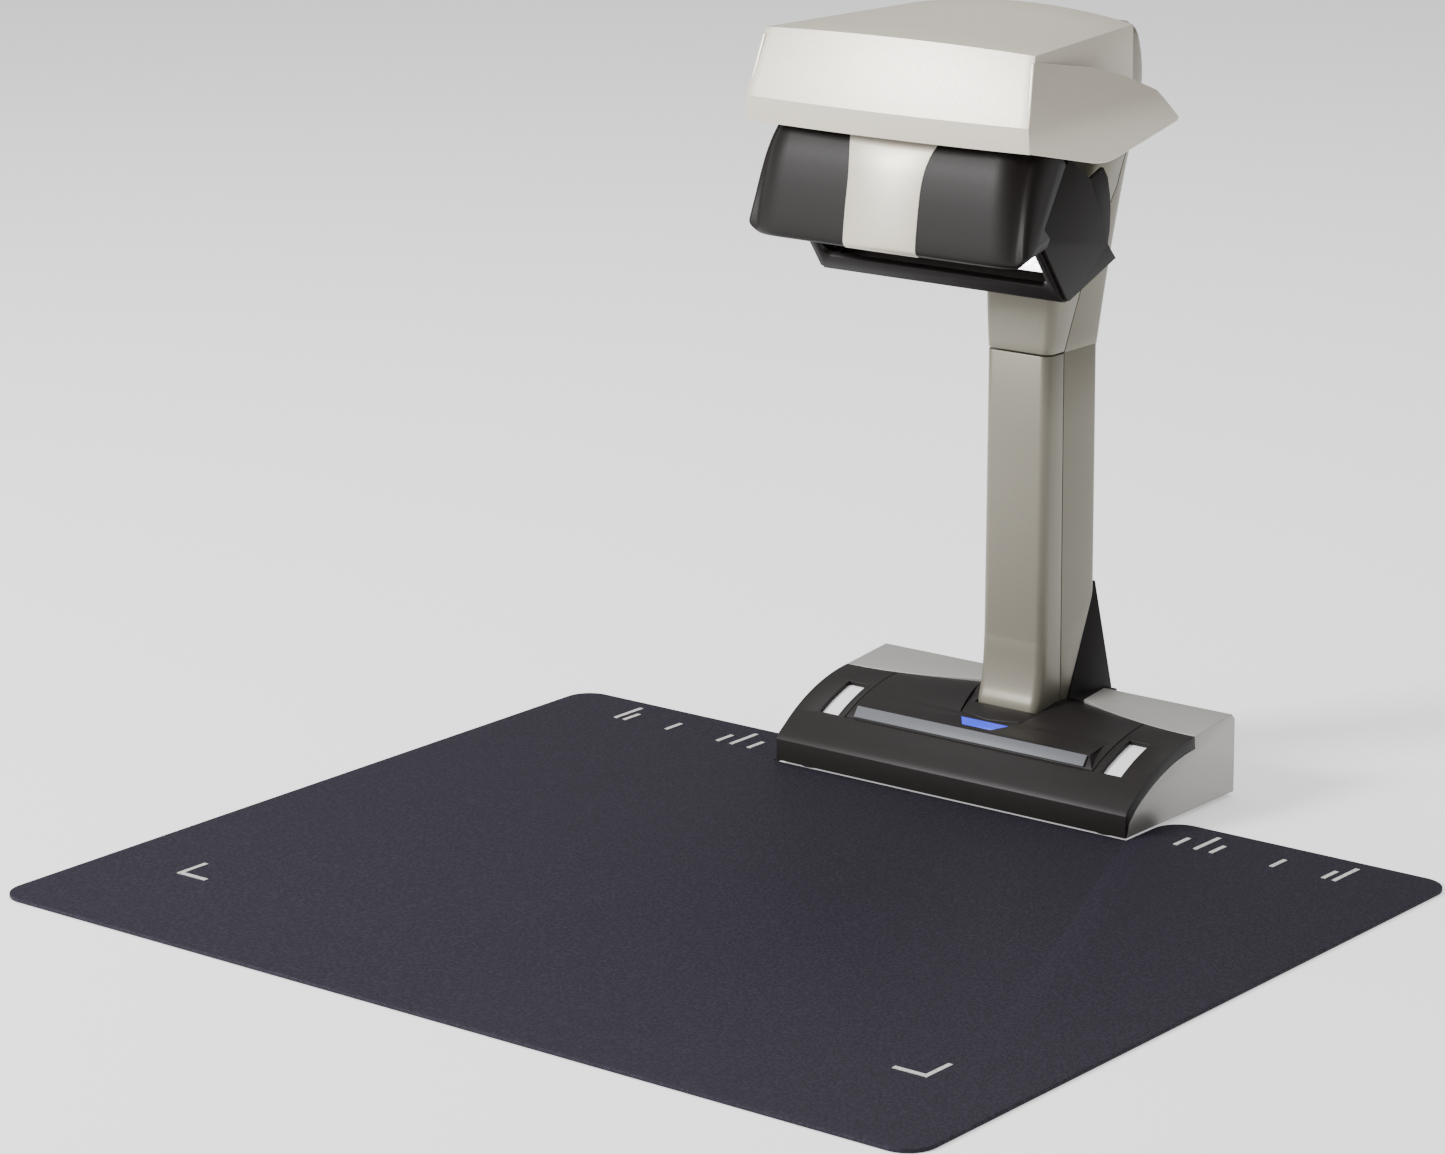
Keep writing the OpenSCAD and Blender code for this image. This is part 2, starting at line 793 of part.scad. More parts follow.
module lock_insert() {
    color(steel)
        place()
            difference() {
                block([-lock_x - 7, base_back - base_wall - 2.2, inlet_z - 5],
                    [-lock_x + 7, base_back - base_wall - 0.2, inlet_z + 5]);
                block([-lock_x - 3.5, base_back - 10, inlet_z - 1.5], [-lock_x + 3.5, base_back + 1, inlet_z + 1.5]);
            }
}

// ---------- column ----------

module column_tube() {
    color(steel)
        place()
            difference() {
                union() {
                    block([-tube_w / 2, tube_y[0], tube_foot_z], [tube_w / 2, tube_y[1], tube_top]);
                    block([-tube_w / 2 - 2, tube_y[0] - 1, tube_foot_z], [tube_w / 2 + 2, tube_y[1] + 1.5, tube_foot_z + 3]);
                }
                block([-tube_w / 2 + tube_t, tube_y[0] + tube_t, tube_foot_z - 1],
                    [tube_w / 2 - tube_t, tube_y[1] - tube_t, tube_top + 1]);
                for (p = tube_bolts)
                    translate([p[0], p[1], tube_foot_z - 1])
                        cylinder(r = 1.6, h = 4);
                // The ribbon cable goes in here
                block([-9, tube_y[0] - 1, ribbon_in], [9, tube_y[0] + tube_t + 1, ribbon_in + 10]);
            }
}
tube_bolts = [for (x = [-11, 11], y = [tube_y[0] + 1, tube_y[1] - 1]) [x, y]];
ribbon_in = seam_h + 40;

module tube_screws() {
    color(steel)
        place()
            for (p = tube_bolts)
                translate([p[0], p[1], tray_z - 0.8]) {
                    cylinder(r = 2.8, h = 0.8);
                    cylinder(r = 1.55, h = tray_t + 3);
                }
}

col_hw = col_w / 2;
// Column sections from the foot up: height, front face
column_fronts = [[foot_seat, foot_fwd], [foot_top, foot_fwd], [foot_top + 6, foot_fwd + 1.9], [foot_top + 16, foot_fwd + 3.5],
    [foot_top + 30, foot_fwd + 4.4], [foot_top + 46, foot_fwd + 4.8], [seam_h, col_front]];
// Neck sections: share of the way from seam to roof, half width, front, rear, corner radius
neck_sections = [
    [0, col_hw + 0.2, col_front + 0.4, col_back, 4.5],
    [0.17, col_hw + 2.8, col_front + 1.7, col_back + 3.5, 5.5],
    [0.34, col_hw + 7.8, col_front + 8.2, leg_back, 8],
    [0.52, col_hw + 14.8, col_front + 16.2, leg_back - 0.5, 10],
    [0.67, col_hw + 23.3, col_front + 18.2, leg_back - 4, 12],
    [0.82, col_hw + 34, hood_back + 0.5, leg_back - 14, 12],
    [0.96, hood_rear_hw - 4, hood_back + 0.5, hood_back + 15, 7],
    [1, hood_rear_hw - 6, hood_back + 0.5, hood_back + 6, 2.5]];

module column_body(inset = 0) {
    loft([for (s = column_fronts)
        level_ring(s[0] + (s[0] == foot_seat && inset > 0 ? -1 : 0), col_hw - inset, s[1] + inset, col_back - inset, 5 - inset)]);
}

module neck_body(inset = 0) {
    rise = hood_h - seam_h;
    loft(concat(
        [for (s = neck_sections)
            level_ring(seam_h + s[0] * rise - (s[0] == 1 ? inset : 0), s[1] - inset, s[2] + inset, s[3] - inset,
                max(0.5, s[4] - inset), s[0] == 1 ? hood_crown - 1 : 0)]));
}

// Everything in front of the side seam
module before_seam(gap = 0) {
    across(-100, 100)
        polygon([[-100, -10], [side_seam - gap, -10], [side_seam - gap, seam_h],
            [side_seam - gap + 7.4, seam_h + 23], [side_seam - gap + 24, seam_h + 80],
            [side_seam - gap + 24, seam_h + 100], [-100, seam_h + 100]]);
}

module column_front_cover() {
    color([0.72, 0.7, 0.65])
        place()
            union() {
                difference() {
                    intersection() {
                        column_body();
                        before_seam(seam_gap / 2);
                        block([-100, 0, 0], [100, 100, seam_h - seam_gap]);
                    }
                    column_body(col_wall);
                }
                for (z = cover_ribs)
                    mirrored()
                        block([9.5, col_front, z], [12.5, tube_y[0], z + 3]);
            }
}
// Heights of the ribs that rest the covers against the tube
cover_ribs = [foot_top + 50, seam_h - 30];

module column_rear_cover() {
    color([0.75, 0.74, 0.7])
        place()
            union() {
                difference() {
                    union() {
                        difference() {
                            column_body();
                            before_seam(-seam_gap / 2);
                            block([-100, 0, seam_h], [100, 100, seam_h + 10]);
                        }
                        difference() {
                            neck_body();
                            before_seam(-seam_gap / 2);
                        }
                    }
                    column_body(col_wall);
                    neck_body(col_wall);
                    block([-col_hw + col_wall, side_seam, seam_h - 1],
                        [col_hw - col_wall, col_back - col_wall - 2, seam_h + 1]);
                    // Cut back where the gusset rises
                    across(-100, 100)
                        polygon([[gusset_fwd - seam_gap, 0], [gusset_fwd - seam_gap, foot_top],
                            [col_back - 0.6 - seam_gap, gusset_top], [col_back + 5, gusset_top], [col_back + 5, 0]]);
                    // Open at the front, where the bracket and the hood's chassis come in
                    block([-24, hood_back - 3, neck_split], [24, tube_y[1] + 2, hood_h - 24]);
                    block([-hood_rear_hw + 8, hood_back - 3, seam_h + 0.85 * (hood_h - seam_h)],
                        [hood_rear_hw - 8, hood_back + 4, hood_h - col_wall]);
                }
                for (z = cover_ribs)
                    mirrored()
                        block([tube_w / 2, tube_y[0] + 5, z], [col_hw - 1, tube_y[0] + 9, z + 3]);
            }
}
// Height at which the neck's front cover ends
neck_split = seam_h + 98;

module neck_front_cover() {
    color([0.8, 0.79, 0.74])
        place()
            union() {
                difference() {
                    intersection() {
                        neck_body();
                        before_seam(seam_gap / 2);
                        block([-100, 0, seam_h + seam_gap], [100, 120, neck_split]);
                    }
                    neck_body(col_wall);
                }
                mirrored()
                    block([9.5, col_front + 2, seam_h + 22], [12.5, tube_y[0], seam_h + 25]);
            }
}

module ribbon_cable() {
    y = tube_y[0] - 3.2;
    t = 0.5;
    color([0.8, 0.8, 0.78])
        place() {
            block([-8, y, board_top + 1], [8, y + t, ribbon_in + 5]);
            block([-8, y, ribbon_in + 5 - t], [8, tube_y[0] + tube_t + 3, ribbon_in + 5]);
            block([-8, tube_y[0] + tube_t + 3 - t, ribbon_in + 5 - t], [8, tube_y[0] + tube_t + 3, tube_top - 4]);
            block([8 - eps, y, board_top + 1], [34, y + t, board_top + 4]);
        }
}

// ---------- hood ----------

module arm_bracket() {
    color(steel)
        place()
            difference() {
                union() {
                    across(-20, 20)
                        polygon([[tube_y[0] + 2.2, tube_top - 30], [tube_y[1] - 2.2, tube_top - 30],
                            [tube_y[1] - 2.2, tube_top], [tube_y[1], tube_top + 0.1], [hood_back + 6, chassis_z - 0.1],
                            [hood_back - 14, chassis_z - 0.1], [hood_back - 14, chassis_z - 4],
                            [tube_y[0] + 2.2, tube_top + 0.1]]);
                }
                mirrored()
                    block([tube_w / 2 - tube_t - 0.2, 0, tube_top - 40], [40, 200, tube_top + 0.1]);
                // Hollow for the ribbon cable
                across(-9, 9)
                    polygon([[tube_y[0] + 4.2, tube_top - 31], [tube_y[1] - 4.2, tube_top - 31],
                        [tube_y[1] - 4.2, tube_top], [hood_back + 2, chassis_z + 1],
                        [hood_back - 10, chassis_z + 1], [tube_y[0] + 4.2, tube_top]]);
            }
}

cheek_r = 8;
hood_bolts = [for (x = [12 - bracket_in, bracket_in - 12], y = [pivot_y - 18, hood_back - 12]) [x, y]];

module hood_chassis() {
    color(steel)
        place()
            difference() {
                union() {
                    block([-bracket_in, pivot_y - 26, chassis_z], [bracket_in, hood_back - 4, chassis_z + 1.6]);
                    mirrored() {
                        across(bracket_in - eps, bracket_in + bracket_t)
                            polygon([[pivot_y - 26, chassis_z + 1.6], [hood_back - 4, chassis_z + 1.6],
                                [hood_back - 4, chassis_z - 10], [pivot_y + cheek_r, pivot_z],
                                [pivot_y - cheek_r, pivot_z], [pivot_y - 26, chassis_z - 10]]);
                        x_rod(cheek_r, bracket_in - eps, bracket_in + bracket_t, pivot_y, pivot_z);
                    }
                }
                x_rod(pin_r, -bracket_in - 5, bracket_in + 5, pivot_y, pivot_z);
                for (p = hood_bolts)
                    translate([p[0], p[1], chassis_z - 1])
                        cylinder(r = 1.6, h = 5);
            }
}

module hood_screws() {
    color(steel)
        place()
            for (p = hood_bolts)
                translate([p[0], p[1], chassis_z - 1.2]) {
                    cylinder(r = 3, h = 1.2);
                    cylinder(r = 1.55, h = 6);
                }
}

function hood_points(t = 0) = concat(
    [for (k = [-8:8])
        let (u = k / 8, b = hood_bow * (1 - u * u))
        each [
            [u * (hood_hw - t), -hood_reach + 0.8 - b + t, pivot_z + 1.5 - t * 4],
            [u * (hood_hw - t), -hood_reach - b + t, pivot_z + 13.4],
            [u * (hood_hw - 4 - t), -hood_reach + 10.3 - b + t, hood_h - 1.7 + front_crown * (1 - u * u) - t]]],
    [for (k = [-8:8])
        let (u = k / 8)
        each [
            [u * (hood_rear_hw - t), hood_back - t, hood_h + hood_crown * (1 - u * u) - t],
            [u * (hood_rear_hw - t), hood_back - t, hood_h - 28 - t * 4]]]);

// Height of the roof over a point
function roof_z(x, y) =
    let (
        s = (y + hood_reach - 10.3) / (hood_back + hood_reach - 10.3),
        u = x / ((hood_hw - 4) * (1 - s) + hood_rear_hw * s))
    (hood_h - 1.7 + front_crown * (1 - u * u)) * (1 - s) + (hood_h + hood_crown * (1 - u * u)) * s;

module hood_body(t = 0) {
    p = hood_points(t);
    hull()
        polyhedron(points = p, faces = [[for (i = [0:len(p) - 1]) i]]);
}

module hood_cover() {
    color(silver)
        place()
            union() {
                difference() {
                    hood_body();
                    hood_body(hood_wall);
                    // Open to the arm at the back
                    block([-hood_rear_hw + 8, hood_back - 4, 0], [hood_rear_hw - 8, hood_back + 4, hood_h - 6]);
                    // Cut back behind the wings, where the head's shoulders pass
                    mirrored()
                        block([head_hw - 2, pivot_y - 34, pivot_z], [hood_hw - 0.7, pivot_y - 12, pivot_z + 7]);
                }
                // Posts that stand the roof on the chassis
                for (p = hood_bolts)
                    translate([p[0], p[1], chassis_z + 1.6])
                        difference() {
                            cylinder(r = 3.5, h = roof_z(p[0], p[1]) - hood_wall / 2 - chassis_z - 1.6);
                            translate([0, 0, -1])
                                cylinder(r = 1.6, h = 6);
                        }
            }
}

wing_t = 2.4;
// Each wing leans inwards above the crease, as the hood's ends do
module wing(side) {
    out = hood_hw + 0.4;
    crease = pivot_z + 13.4;
    lean = 4 / (hood_h - 1.7 - crease) * (hood_h - crease);
    color([0.7, 0.68, 0.64])
        place()
            mirror([side < 0 ? 1 : 0, 0, 0])
                difference() {
                    intersection() {
                        across(out - 12, out)
                            polygon([[-hood_reach + 8.6, hood_h - 4.4], [-hood_reach + 0.2, crease],
                                [-hood_reach + 0.8, pivot_z + 1.6], [-3, pivot_z - 10.2], [8, pivot_z - 10.6],
                                [63, pivot_z + 1], [64.6, pivot_z + 2.8], [46.3, pivot_z + 18], [22, pivot_z + 27.4],
                                [-3.5, pivot_z + 34.2], [-28, pivot_z + 38.4]]);
                        translate([0, 100, 0])
                            rotate([90, 0, 0])
                                linear_extrude(200)
                                    polygon([[out, pivot_z - 20], [out, crease], [out - lean, hood_h],
                                        [out - wing_t - lean, hood_h], [out - wing_t, crease],
                                        [out - wing_t, pivot_z - 20]]);
                    }
                    hood_body();
                }
}

module hood_wing_left() {
    wing(-1);
}

module hood_wing_right() {
    wing(1);
}

// ---------- swing axis and drive ----------

module pivot_pins() {
    color(steel)
        place()
            mirrored() {
                x_rod(pin_r, ear_x[0] - 1, bracket_in + bracket_t + 0.6, pivot_y, pivot_z);
                x_rod(pin_r - 1.2, bracket_in + bracket_t + 0.5, bracket_in + bracket_t + 1, pivot_y, pivot_z);
            }
}

module drive_plate() {
    color(steel)
        place()
            difference() {
                union() {
                    across(plate_x[0], plate_x[1])
                        polygon([[gear_y - 8, chassis_z], [motor_y + 10, chassis_z], [motor_y + 8, motor_cz - 8],
                            [gear_y, gear_z - 8], [gear_y - 8, gear_z - 4]]);
                    block([plate_x[0], gear_y - 8, chassis_z - 1.2], [plate_x[1] + 8, motor_y + 10, chassis_z - 0.05]);
                }
                x_rod(spindle_r, plate_x[0] - 1, plate_x[1] + 1, gear_y, gear_z);
                x_rod(3, plate_x[0] - 1, plate_x[1] + 1, motor_y, motor_cz);
            }
}

module drive_motor() {
    color([0.5, 0.5, 0.52])
        place()
            difference() {
                union() {
                    x_rod(motor_r, motor_x[0] - 1 + 0.02, motor_x[1], motor_y, motor_cz);
                    x_rod(2.9, plate_x[0] + 0.3, motor_x[0], motor_y, motor_cz);
                }
                x_rod(rotor_r + run_gap, plate_x[0] - 5, motor_x[0] + 8, motor_y, motor_cz);
            }
}

module motor_shaft() {
    color(steel)
        place()
            x_rod(rotor_r, reduction_x[0] - 0.4, motor_x[0] + 7.6, motor_y, motor_cz);
}

module motor_pinion() {
    color([0.85, 0.7, 0.35])
        place()
            gear_at(reduction_x[0] - 0.2, motor_y, motor_cz)
                spur(motor_m, motor_z, reduction_x[1] - reduction_x[0] + 0.4, rotor_r, motor_angle + 180 + 180 / motor_z);
}

module reduction_spindle() {
    color(steel)
        place()
            x_rod(spindle_r, sector_x[0] - 0.6, plate_x[1], gear_y, gear_z);
}

module reduction_gear() {
    color([0.9, 0.9, 0.86])
        place() {
            gear_at(reduction_x[0], gear_y, gear_z)
                spur(motor_m, reduction_z, reduction_x[1] - reduction_x[0], spindle_r + run_gap, motor_angle);
            gear_at(sector_x[0] - 0.3, gear_y, gear_z)
                spur(sector_m, pinion_z, reduction_x[0] - sector_x[0] + 0.3 + eps, spindle_r + run_gap,
                    mesh_angle + 180 + 180 / pinion_z);
        }
}

// ---------- scanning head, drawn with the optical axis straight down ----------

head_top = -10.5;
cut_y = 2;
ear_r = 8;
bush_r = pin_r + 2;

module ear(x0, x1) {
    difference() {
        union() {
            x_rod(ear_r, x0, x1, 0, 0);
            across(x0, x1)
                polygon([[-ear_r, 0], [ear_r, 0], [22, head_top - 2], [-14, head_top - 2]]);
        }
        x_rod(bush_r, x0 - 1, x1 + 1, 0, 0);
    }
}

// Slots through which the ears rise, in whatever covers them
module ear_slots() {
    mirrored()
        block([ear_x[0] - 0.3, -16, head_top - 3], [ear_x[1] + 0.3, 24, 2]);
}

head_bolts = [for (x = [10 - head_hw, head_hw - 10], y = [9, 38]) [x, y]];

module head_chassis() {
    color([0.2, 0.2, 0.21])
        place()
            on_head() {
                mirrored()
                    ear(ear_x[0], ear_x[1]);
                difference() {
                    union() {
                        block([-head_hw + 7, cut_y, head_top - 3.4], [head_hw - 7, 43, head_top - 2]);
                        block([-frame_hw, -16, head_top - 3.4], [frame_hw, cut_y + eps, head_top - 2]);
                    }
                    for (p = head_bolts)
                        translate([p[0], p[1], head_top - 5])
                            cylinder(r = 1.4, h = 5);
                }
            }
}

module pivot_bushes() {
    color([0.8, 0.6, 0.3])
        place()
            on_head()
                mirrored()
                    difference() {
                        x_rod(bush_r, ear_x[0] - 0.4, ear_x[1] + 0.6, 0, 0);
                        x_rod(pin_r + run_gap, ear_x[0] - 2, ear_x[1] + 2, 0, 0);
                    }
}

sector_span = [mesh_angle - swing_back - 9, mesh_angle + swing_fwd + 9];

module sector_gear() {
    pitch = sector_r;
    tooth = 360 / sector_z;
    first = ceil((sector_span[0] - mesh_angle) / tooth);
    last = floor((sector_span[1] - mesh_angle) / tooth);
    color([0.9, 0.9, 0.86])
        place()
            gear_at(sector_x[0], pivot_y, pivot_z)
                difference() {
                    union() {
                        linear_extrude(sector_x[1] - sector_x[0])
                            polygon(concat(
                                [[0, 0]],
                                [for (i = [first:last], k = [0:3])
                                    let (
                                        a = mesh_angle + (i + [-0.3, -0.13, 0.13, 0.3][k]) * tooth,
                                        r = pitch + (k == 1 || k == 2 ? 0.85 : -1.05) * sector_m)
                                    [r * cos(a), r * sin(a)]]));
                        cylinder(r = ear_r, h = sector_x[1] - sector_x[0]);
                    }
                    translate([0, 0, -1])
                        cylinder(r = bush_r, h = 10);
                    for (a = [sector_span[0] + 14:16:sector_span[1] - 10])
                        rotate([0, 0, a])
                            translate([pitch * 0.64, 0, -1])
                                cylinder(r = 3, h = 10);
                }
}

// Front cover's profile in the middle of its width, from the top round to the bottom
cover_profile = [[cut_y, head_top + 1], [-20, head_top + 1], [-28, head_top - 1.6], [-31.4, head_top - 6],
    [-32.2, -24], [-30.6, -34], [-27, -43.5], [-23, -52], [-18.6, -60.5], [-15, -67.5], [-12, -71.2],
    [-9.2, -71], [-1, -62.2], [8.6, -51.6], [cut_y, -50]];

// An outline moved inwards by t at every corner
function edge_normal(a, b) = let (d = b - a) [-d[1], d[0]] / norm(d);
function inset_path(p, t) = [for (i = [0:len(p) - 1])
    let (
        n = len(p),
        u = edge_normal(p[(i + n - 1) % n], p[i]),
        v = edge_normal(p[i], p[(i + 1) % n]))
    p[i] + (u + v) * t / max(0.5, 1 + u * v)];

// The cover's ends are rounded, and bulge beyond the side plates that they meet
end_round = 20;
cover_hw = head_hw + cover_bulge;
side_hw = head_hw - 3;
// The hollow ends inside the side plates
hollow_hw = side_hw - 2;
function end_pull(x, hw) =
    let (u = max(0, (abs(x) - hw + end_round) / end_round))
    pow(max(0, 1 - pow(u, 2.2)), 1 / 2.2);
// With a wall t it is the hollow, which runs out through the open back
function cover_ring(x, t = 0) = [for (p = t > 0 ? inset_path(cover_profile, t) : cover_profile)
    let (
        f = end_pull(x, t > 0 ? hollow_hw : cover_hw),
        g = 0.25 + 0.75 * f,
        h = 0.8 + 0.2 * f,
        rear = cut_y - max(0, abs(x) - side_hw) * 1.5,
        z = max(-36 + (p[1] + 36) * h, t > 0 ? -54 - 18 * f : -100))
    [x * (1 - cover_flare * (z + 10)),
        t > 0 && p[0] > cut_y - t - eps ? cut_y + 9 : rear + (p[0] - cut_y) * (p[0] < cut_y ? g : 1), z]];

module cover_body(t = 0) {
    hw = t > 0 ? hollow_hw : cover_hw;
    inner = hw - end_round;
    loft([for (u = [-1, -0.95, -0.85, -0.7, -0.5, -0.25]) cover_ring(u * end_round - inner, t),
        cover_ring(0, t),
        for (u = [0.25, 0.5, 0.7, 0.85, 0.95, 1]) cover_ring(u * end_round + inner, t)]);
}

module head_front_cover() {
    color(black)
        place()
            on_head()
                difference() {
                    cover_body();
                    cover_body(head_wall);
                    // Seat of the silver band
                    band_solid(0.5, 1.2);
                    // Open underneath, for the lamp and the optics
                    block([-hollow_hw + 3, -8, -80], [hollow_hw - 3, 20, -46]);
                    ear_slots();
                }
}

// Half width of the band, which narrows towards its lower end
function band_hw(z) = 21.8 + 8.5 * pow(max(0, (z + 47) / 40), 1.6);

// A skin on the cover's profile, from out above it to depth below it
module band_solid(out, depth) {
    intersection() {
        difference() {
            across(-40, 40)
                polygon(inset_path(cover_profile, -out));
            across(-41, 41)
                polygon(inset_path(cover_profile, depth));
        }
        translate([0, cut_y - 12, 0])
            rotate([90, 0, 0])
                linear_extrude(40)
                    polygon(concat(
                        [for (z = [-78:6:-9]) [band_hw(z), z]],
                        [for (z = [-12:-6:-78]) [-band_hw(z), z]]));
    }
}

module head_band() {
    color(silver)
        place()
            on_head()
                band_solid(0.3, 1.15);
}

// Side plate's outline behind the front cover
side_outline = [[cut_y + 0.4, head_top + 4], [24, head_top + 4], [30, 3], [36, 1], [43, -5], [48, -11], [52.5, -18],
    [55.2, -24.2], [65.4, -26.4], [52.4, -46], [43.2, -60.4], [41.5, -61.4], [10, -50.3], [cut_y + 0.4, -48.7]];

module head_side(side) {
    color(black)
        place()
            on_head()
                mirror([side < 0 ? 1 : 0, 0, 0])
                    across(head_hw - 3 - head_wall, head_hw - 3)
                        polygon(side_outline);
}

module head_side_left() {
    head_side(-1);
}

module head_side_right() {
    head_side(1);
}

inner_hw = head_hw - 3 - head_wall - 0.1;

module head_rear_wall() {
    color(black)
        place()
            on_head()
                difference() {
                    across(-inner_hw, inner_hw)
                        polygon([[cut_y + 0.4, head_top - 1.8], [44, head_top - 1.8], [49, -17], [54.4, -24.9],
                            [63.4, -27], [51, -45.6], [52.6, -46.6], [65, -27.6], [64, -25.6], [55.6, -23.2],
                            [50.5, -15.6], [45, head_top - 0.2], [cut_y + 0.4, head_top - 0.2]]);
                    ear_slots();
                    for (p = head_bolts)
                        translate([p[0], p[1], head_top - 5])
                            cylinder(r = 1.4, h = 10);
                }
}

module lamp_bezel() {
    color([0.2, 0.19, 0.2])
        place()
            on_head()
                difference() {
                    across(-inner_hw, inner_hw)
                        polygon([[10, -50.2], [10.8, -52], [41.2, -62.4], [43.8, -61.2], [52.4, -47.2], [50.8, -46],
                            [42, -59.4], [36, -57.4]]);
                    translate([0, 0, -70])
                        rounded_plate(-inner_hw + 4, inner_hw - 4, -10, 33, 5, 30);
                }
}

// Inner frame that carries the lamp and the optics under the chassis
frame_hw = head_hw - 15;
frame_t = 1.8;
lens_y = 16;
lens_r = 8;

module optics_frame() {
    color([0.2, 0.2, 0.21])
        place()
            on_head()
                difference() {
                    union() {
                        mirrored()
                            across(frame_hw, frame_hw + frame_t)
                                polygon([[-10, head_top - 3.4], [40, head_top - 3.4], [40, -50], [34, -52], [8, -47],
                                    [-6, -47]]);
                        block([-frame_hw - eps, lens_y - 10.5, -33], [frame_hw + eps, lens_y + 10.5, -30]);
                        for (x = [-34, 34])
                            translate([x, lens_y, -31])
                                cylinder(r = 2.5, h = 31 + head_top - 3.4);
                    }
                    translate([0, lens_y, -40])
                        cylinder(r = lens_r, h = 15);
                    for (x = [-34, 34])
                        block([x - 4, lens_y - 4, -22], [x + 4, lens_y + 4, -20.4]);
                }
}

module lamp_bar() {
    color([0.95, 0.95, 0.9])
        place()
            on_head() {
                across(-frame_hw, frame_hw)
                    polygon([[36, -50], [38.5, -50], [38.5, -42], [36, -42]]);
                for (i = [-7:7])
                    block([i * frame_hw / 7.9 - 2, 34.6, -48], [i * frame_hw / 7.9 + 2, 36 + eps, -44]);
            }
}

module lamp_reflector() {
    color([0.9, 0.9, 0.92])
        place()
            on_head()
                mirrored()
                    across(frame_hw + frame_t, frame_hw + frame_t + 1.5)
                        polygon([[11, -48], [34, -54.5], [34, -34], [11, -30]]);
}

module imaging_lens() {
    color([0.2, 0.2, 0.3])
        place()
            on_head()
                translate([0, lens_y, -38])
                    difference() {
                        union() {
                            cylinder(r = lens_r, h = 12);
                            translate([0, 0, -3])
                                cylinder(r = lens_r - 2.5, h = 3 + eps);
                        }
                        translate([0, 0, -4])
                            cylinder(r = lens_r - 4, h = 2.5);
                    }
}

module sensor_board() {
    color([0.1, 0.35, 0.2])
        place()
            on_head() {
                block([-40, lens_y - 10, -22], [40, lens_y + 10, -20.4]);
                block([-22, lens_y - 4, -24], [22, lens_y + 4, -22 + eps]);
            }
}

module fold_mirror() {
    color([0.8, 0.85, 0.9])
        place()
            on_head()
                across(-frame_hw, frame_hw)
                    polygon([[-4, -40], [4, -46], [5.2, -44.8], [-2.8, -38.8]]);
}

module head_screws() {
    color(steel)
        place()
            on_head()
                for (p = head_bolts)
                    translate([p[0], p[1], head_top - 3.4 - 1.2]) {
                        cylinder(r = 2.6, h = 1.2);
                        cylinder(r = 1.35, h = 4.2);
                    }
}

background_mat();
mat_guides();
rubber_feet();
base_tray();
ballast_plates();
tray_screws();
base_cover();
front_bezel();
reference_sheets();
button_deck();
deck_hinge_pins();
scan_panel();
scan_strip();
status_window();
stop_button();
button_switches();
column_collar();
rear_gusset();
main_board();
board_parts();
power_inlet();
usb_socket();
lock_insert();
column_tube();
tube_screws();
column_front_cover();
column_rear_cover();
neck_front_cover();
ribbon_cable();
arm_bracket();
hood_chassis();
hood_screws();
hood_cover();
hood_wing_left();
hood_wing_right();
pivot_pins();
drive_plate();
drive_motor();
motor_shaft();
motor_pinion();
reduction_spindle();
reduction_gear();
head_chassis();
pivot_bushes();
sector_gear();
head_front_cover();
head_band();
head_side_left();
head_side_right();
head_rear_wall();
lamp_bezel();
optics_frame();
lamp_bar();
lamp_reflector();
imaging_lens();
sensor_board();
fold_mirror();
head_screws();
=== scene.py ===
import json
import math

import bmesh
import bpy
from mathutils import Euler, Matrix, Vector

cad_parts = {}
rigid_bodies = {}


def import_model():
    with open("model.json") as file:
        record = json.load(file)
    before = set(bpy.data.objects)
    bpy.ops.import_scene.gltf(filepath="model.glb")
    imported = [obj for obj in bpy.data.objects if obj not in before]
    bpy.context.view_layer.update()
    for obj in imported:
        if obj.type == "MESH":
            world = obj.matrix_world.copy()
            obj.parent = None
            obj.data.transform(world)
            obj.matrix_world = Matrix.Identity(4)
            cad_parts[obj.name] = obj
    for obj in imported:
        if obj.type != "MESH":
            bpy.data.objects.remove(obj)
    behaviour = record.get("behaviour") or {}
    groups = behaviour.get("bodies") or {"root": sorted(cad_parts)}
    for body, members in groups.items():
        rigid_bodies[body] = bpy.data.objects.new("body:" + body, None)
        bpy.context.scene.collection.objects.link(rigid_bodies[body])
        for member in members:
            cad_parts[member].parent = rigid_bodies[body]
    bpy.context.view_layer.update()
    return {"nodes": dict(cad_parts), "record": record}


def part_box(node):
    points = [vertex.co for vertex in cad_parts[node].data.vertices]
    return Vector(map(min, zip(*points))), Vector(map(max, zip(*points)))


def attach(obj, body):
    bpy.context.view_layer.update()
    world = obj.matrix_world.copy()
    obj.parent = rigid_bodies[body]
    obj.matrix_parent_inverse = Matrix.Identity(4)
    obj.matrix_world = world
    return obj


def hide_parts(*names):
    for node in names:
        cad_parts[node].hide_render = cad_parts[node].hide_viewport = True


for thing in list(bpy.data.objects):
    bpy.data.objects.remove(thing)
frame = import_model()


# ---------------------------------------------------------------- camera
# A long lens looks at the scanner from its front right, a little above the
# hood. The picture is framed off the lens's axis, so the lens is shifted.
eye = Vector((1.2816, -1.6192, 0.6936))
turn, dip, tilt = math.radians(37.79), math.radians(14.722), math.radians(-0.151)
back = Vector((math.sin(turn) * math.cos(dip), -math.cos(turn) * math.cos(dip), math.sin(dip)))
lens = bpy.data.cameras.new("camera")
lens.lens, lens.sensor_width = 116.69, 36.0
lens.shift_x, lens.shift_y = -0.0646, -0.0128
lens.clip_start, lens.clip_end = 0.05, 50
camera = bpy.data.objects.new("camera", lens)
camera.rotation_mode = "QUATERNION"
camera.location = eye
camera.rotation_quaternion = (-back).to_track_quat("-Z", "Y") @ Euler((0, 0, tilt)).to_quaternion()
bpy.context.scene.collection.objects.link(camera)
bpy.context.scene.camera = camera


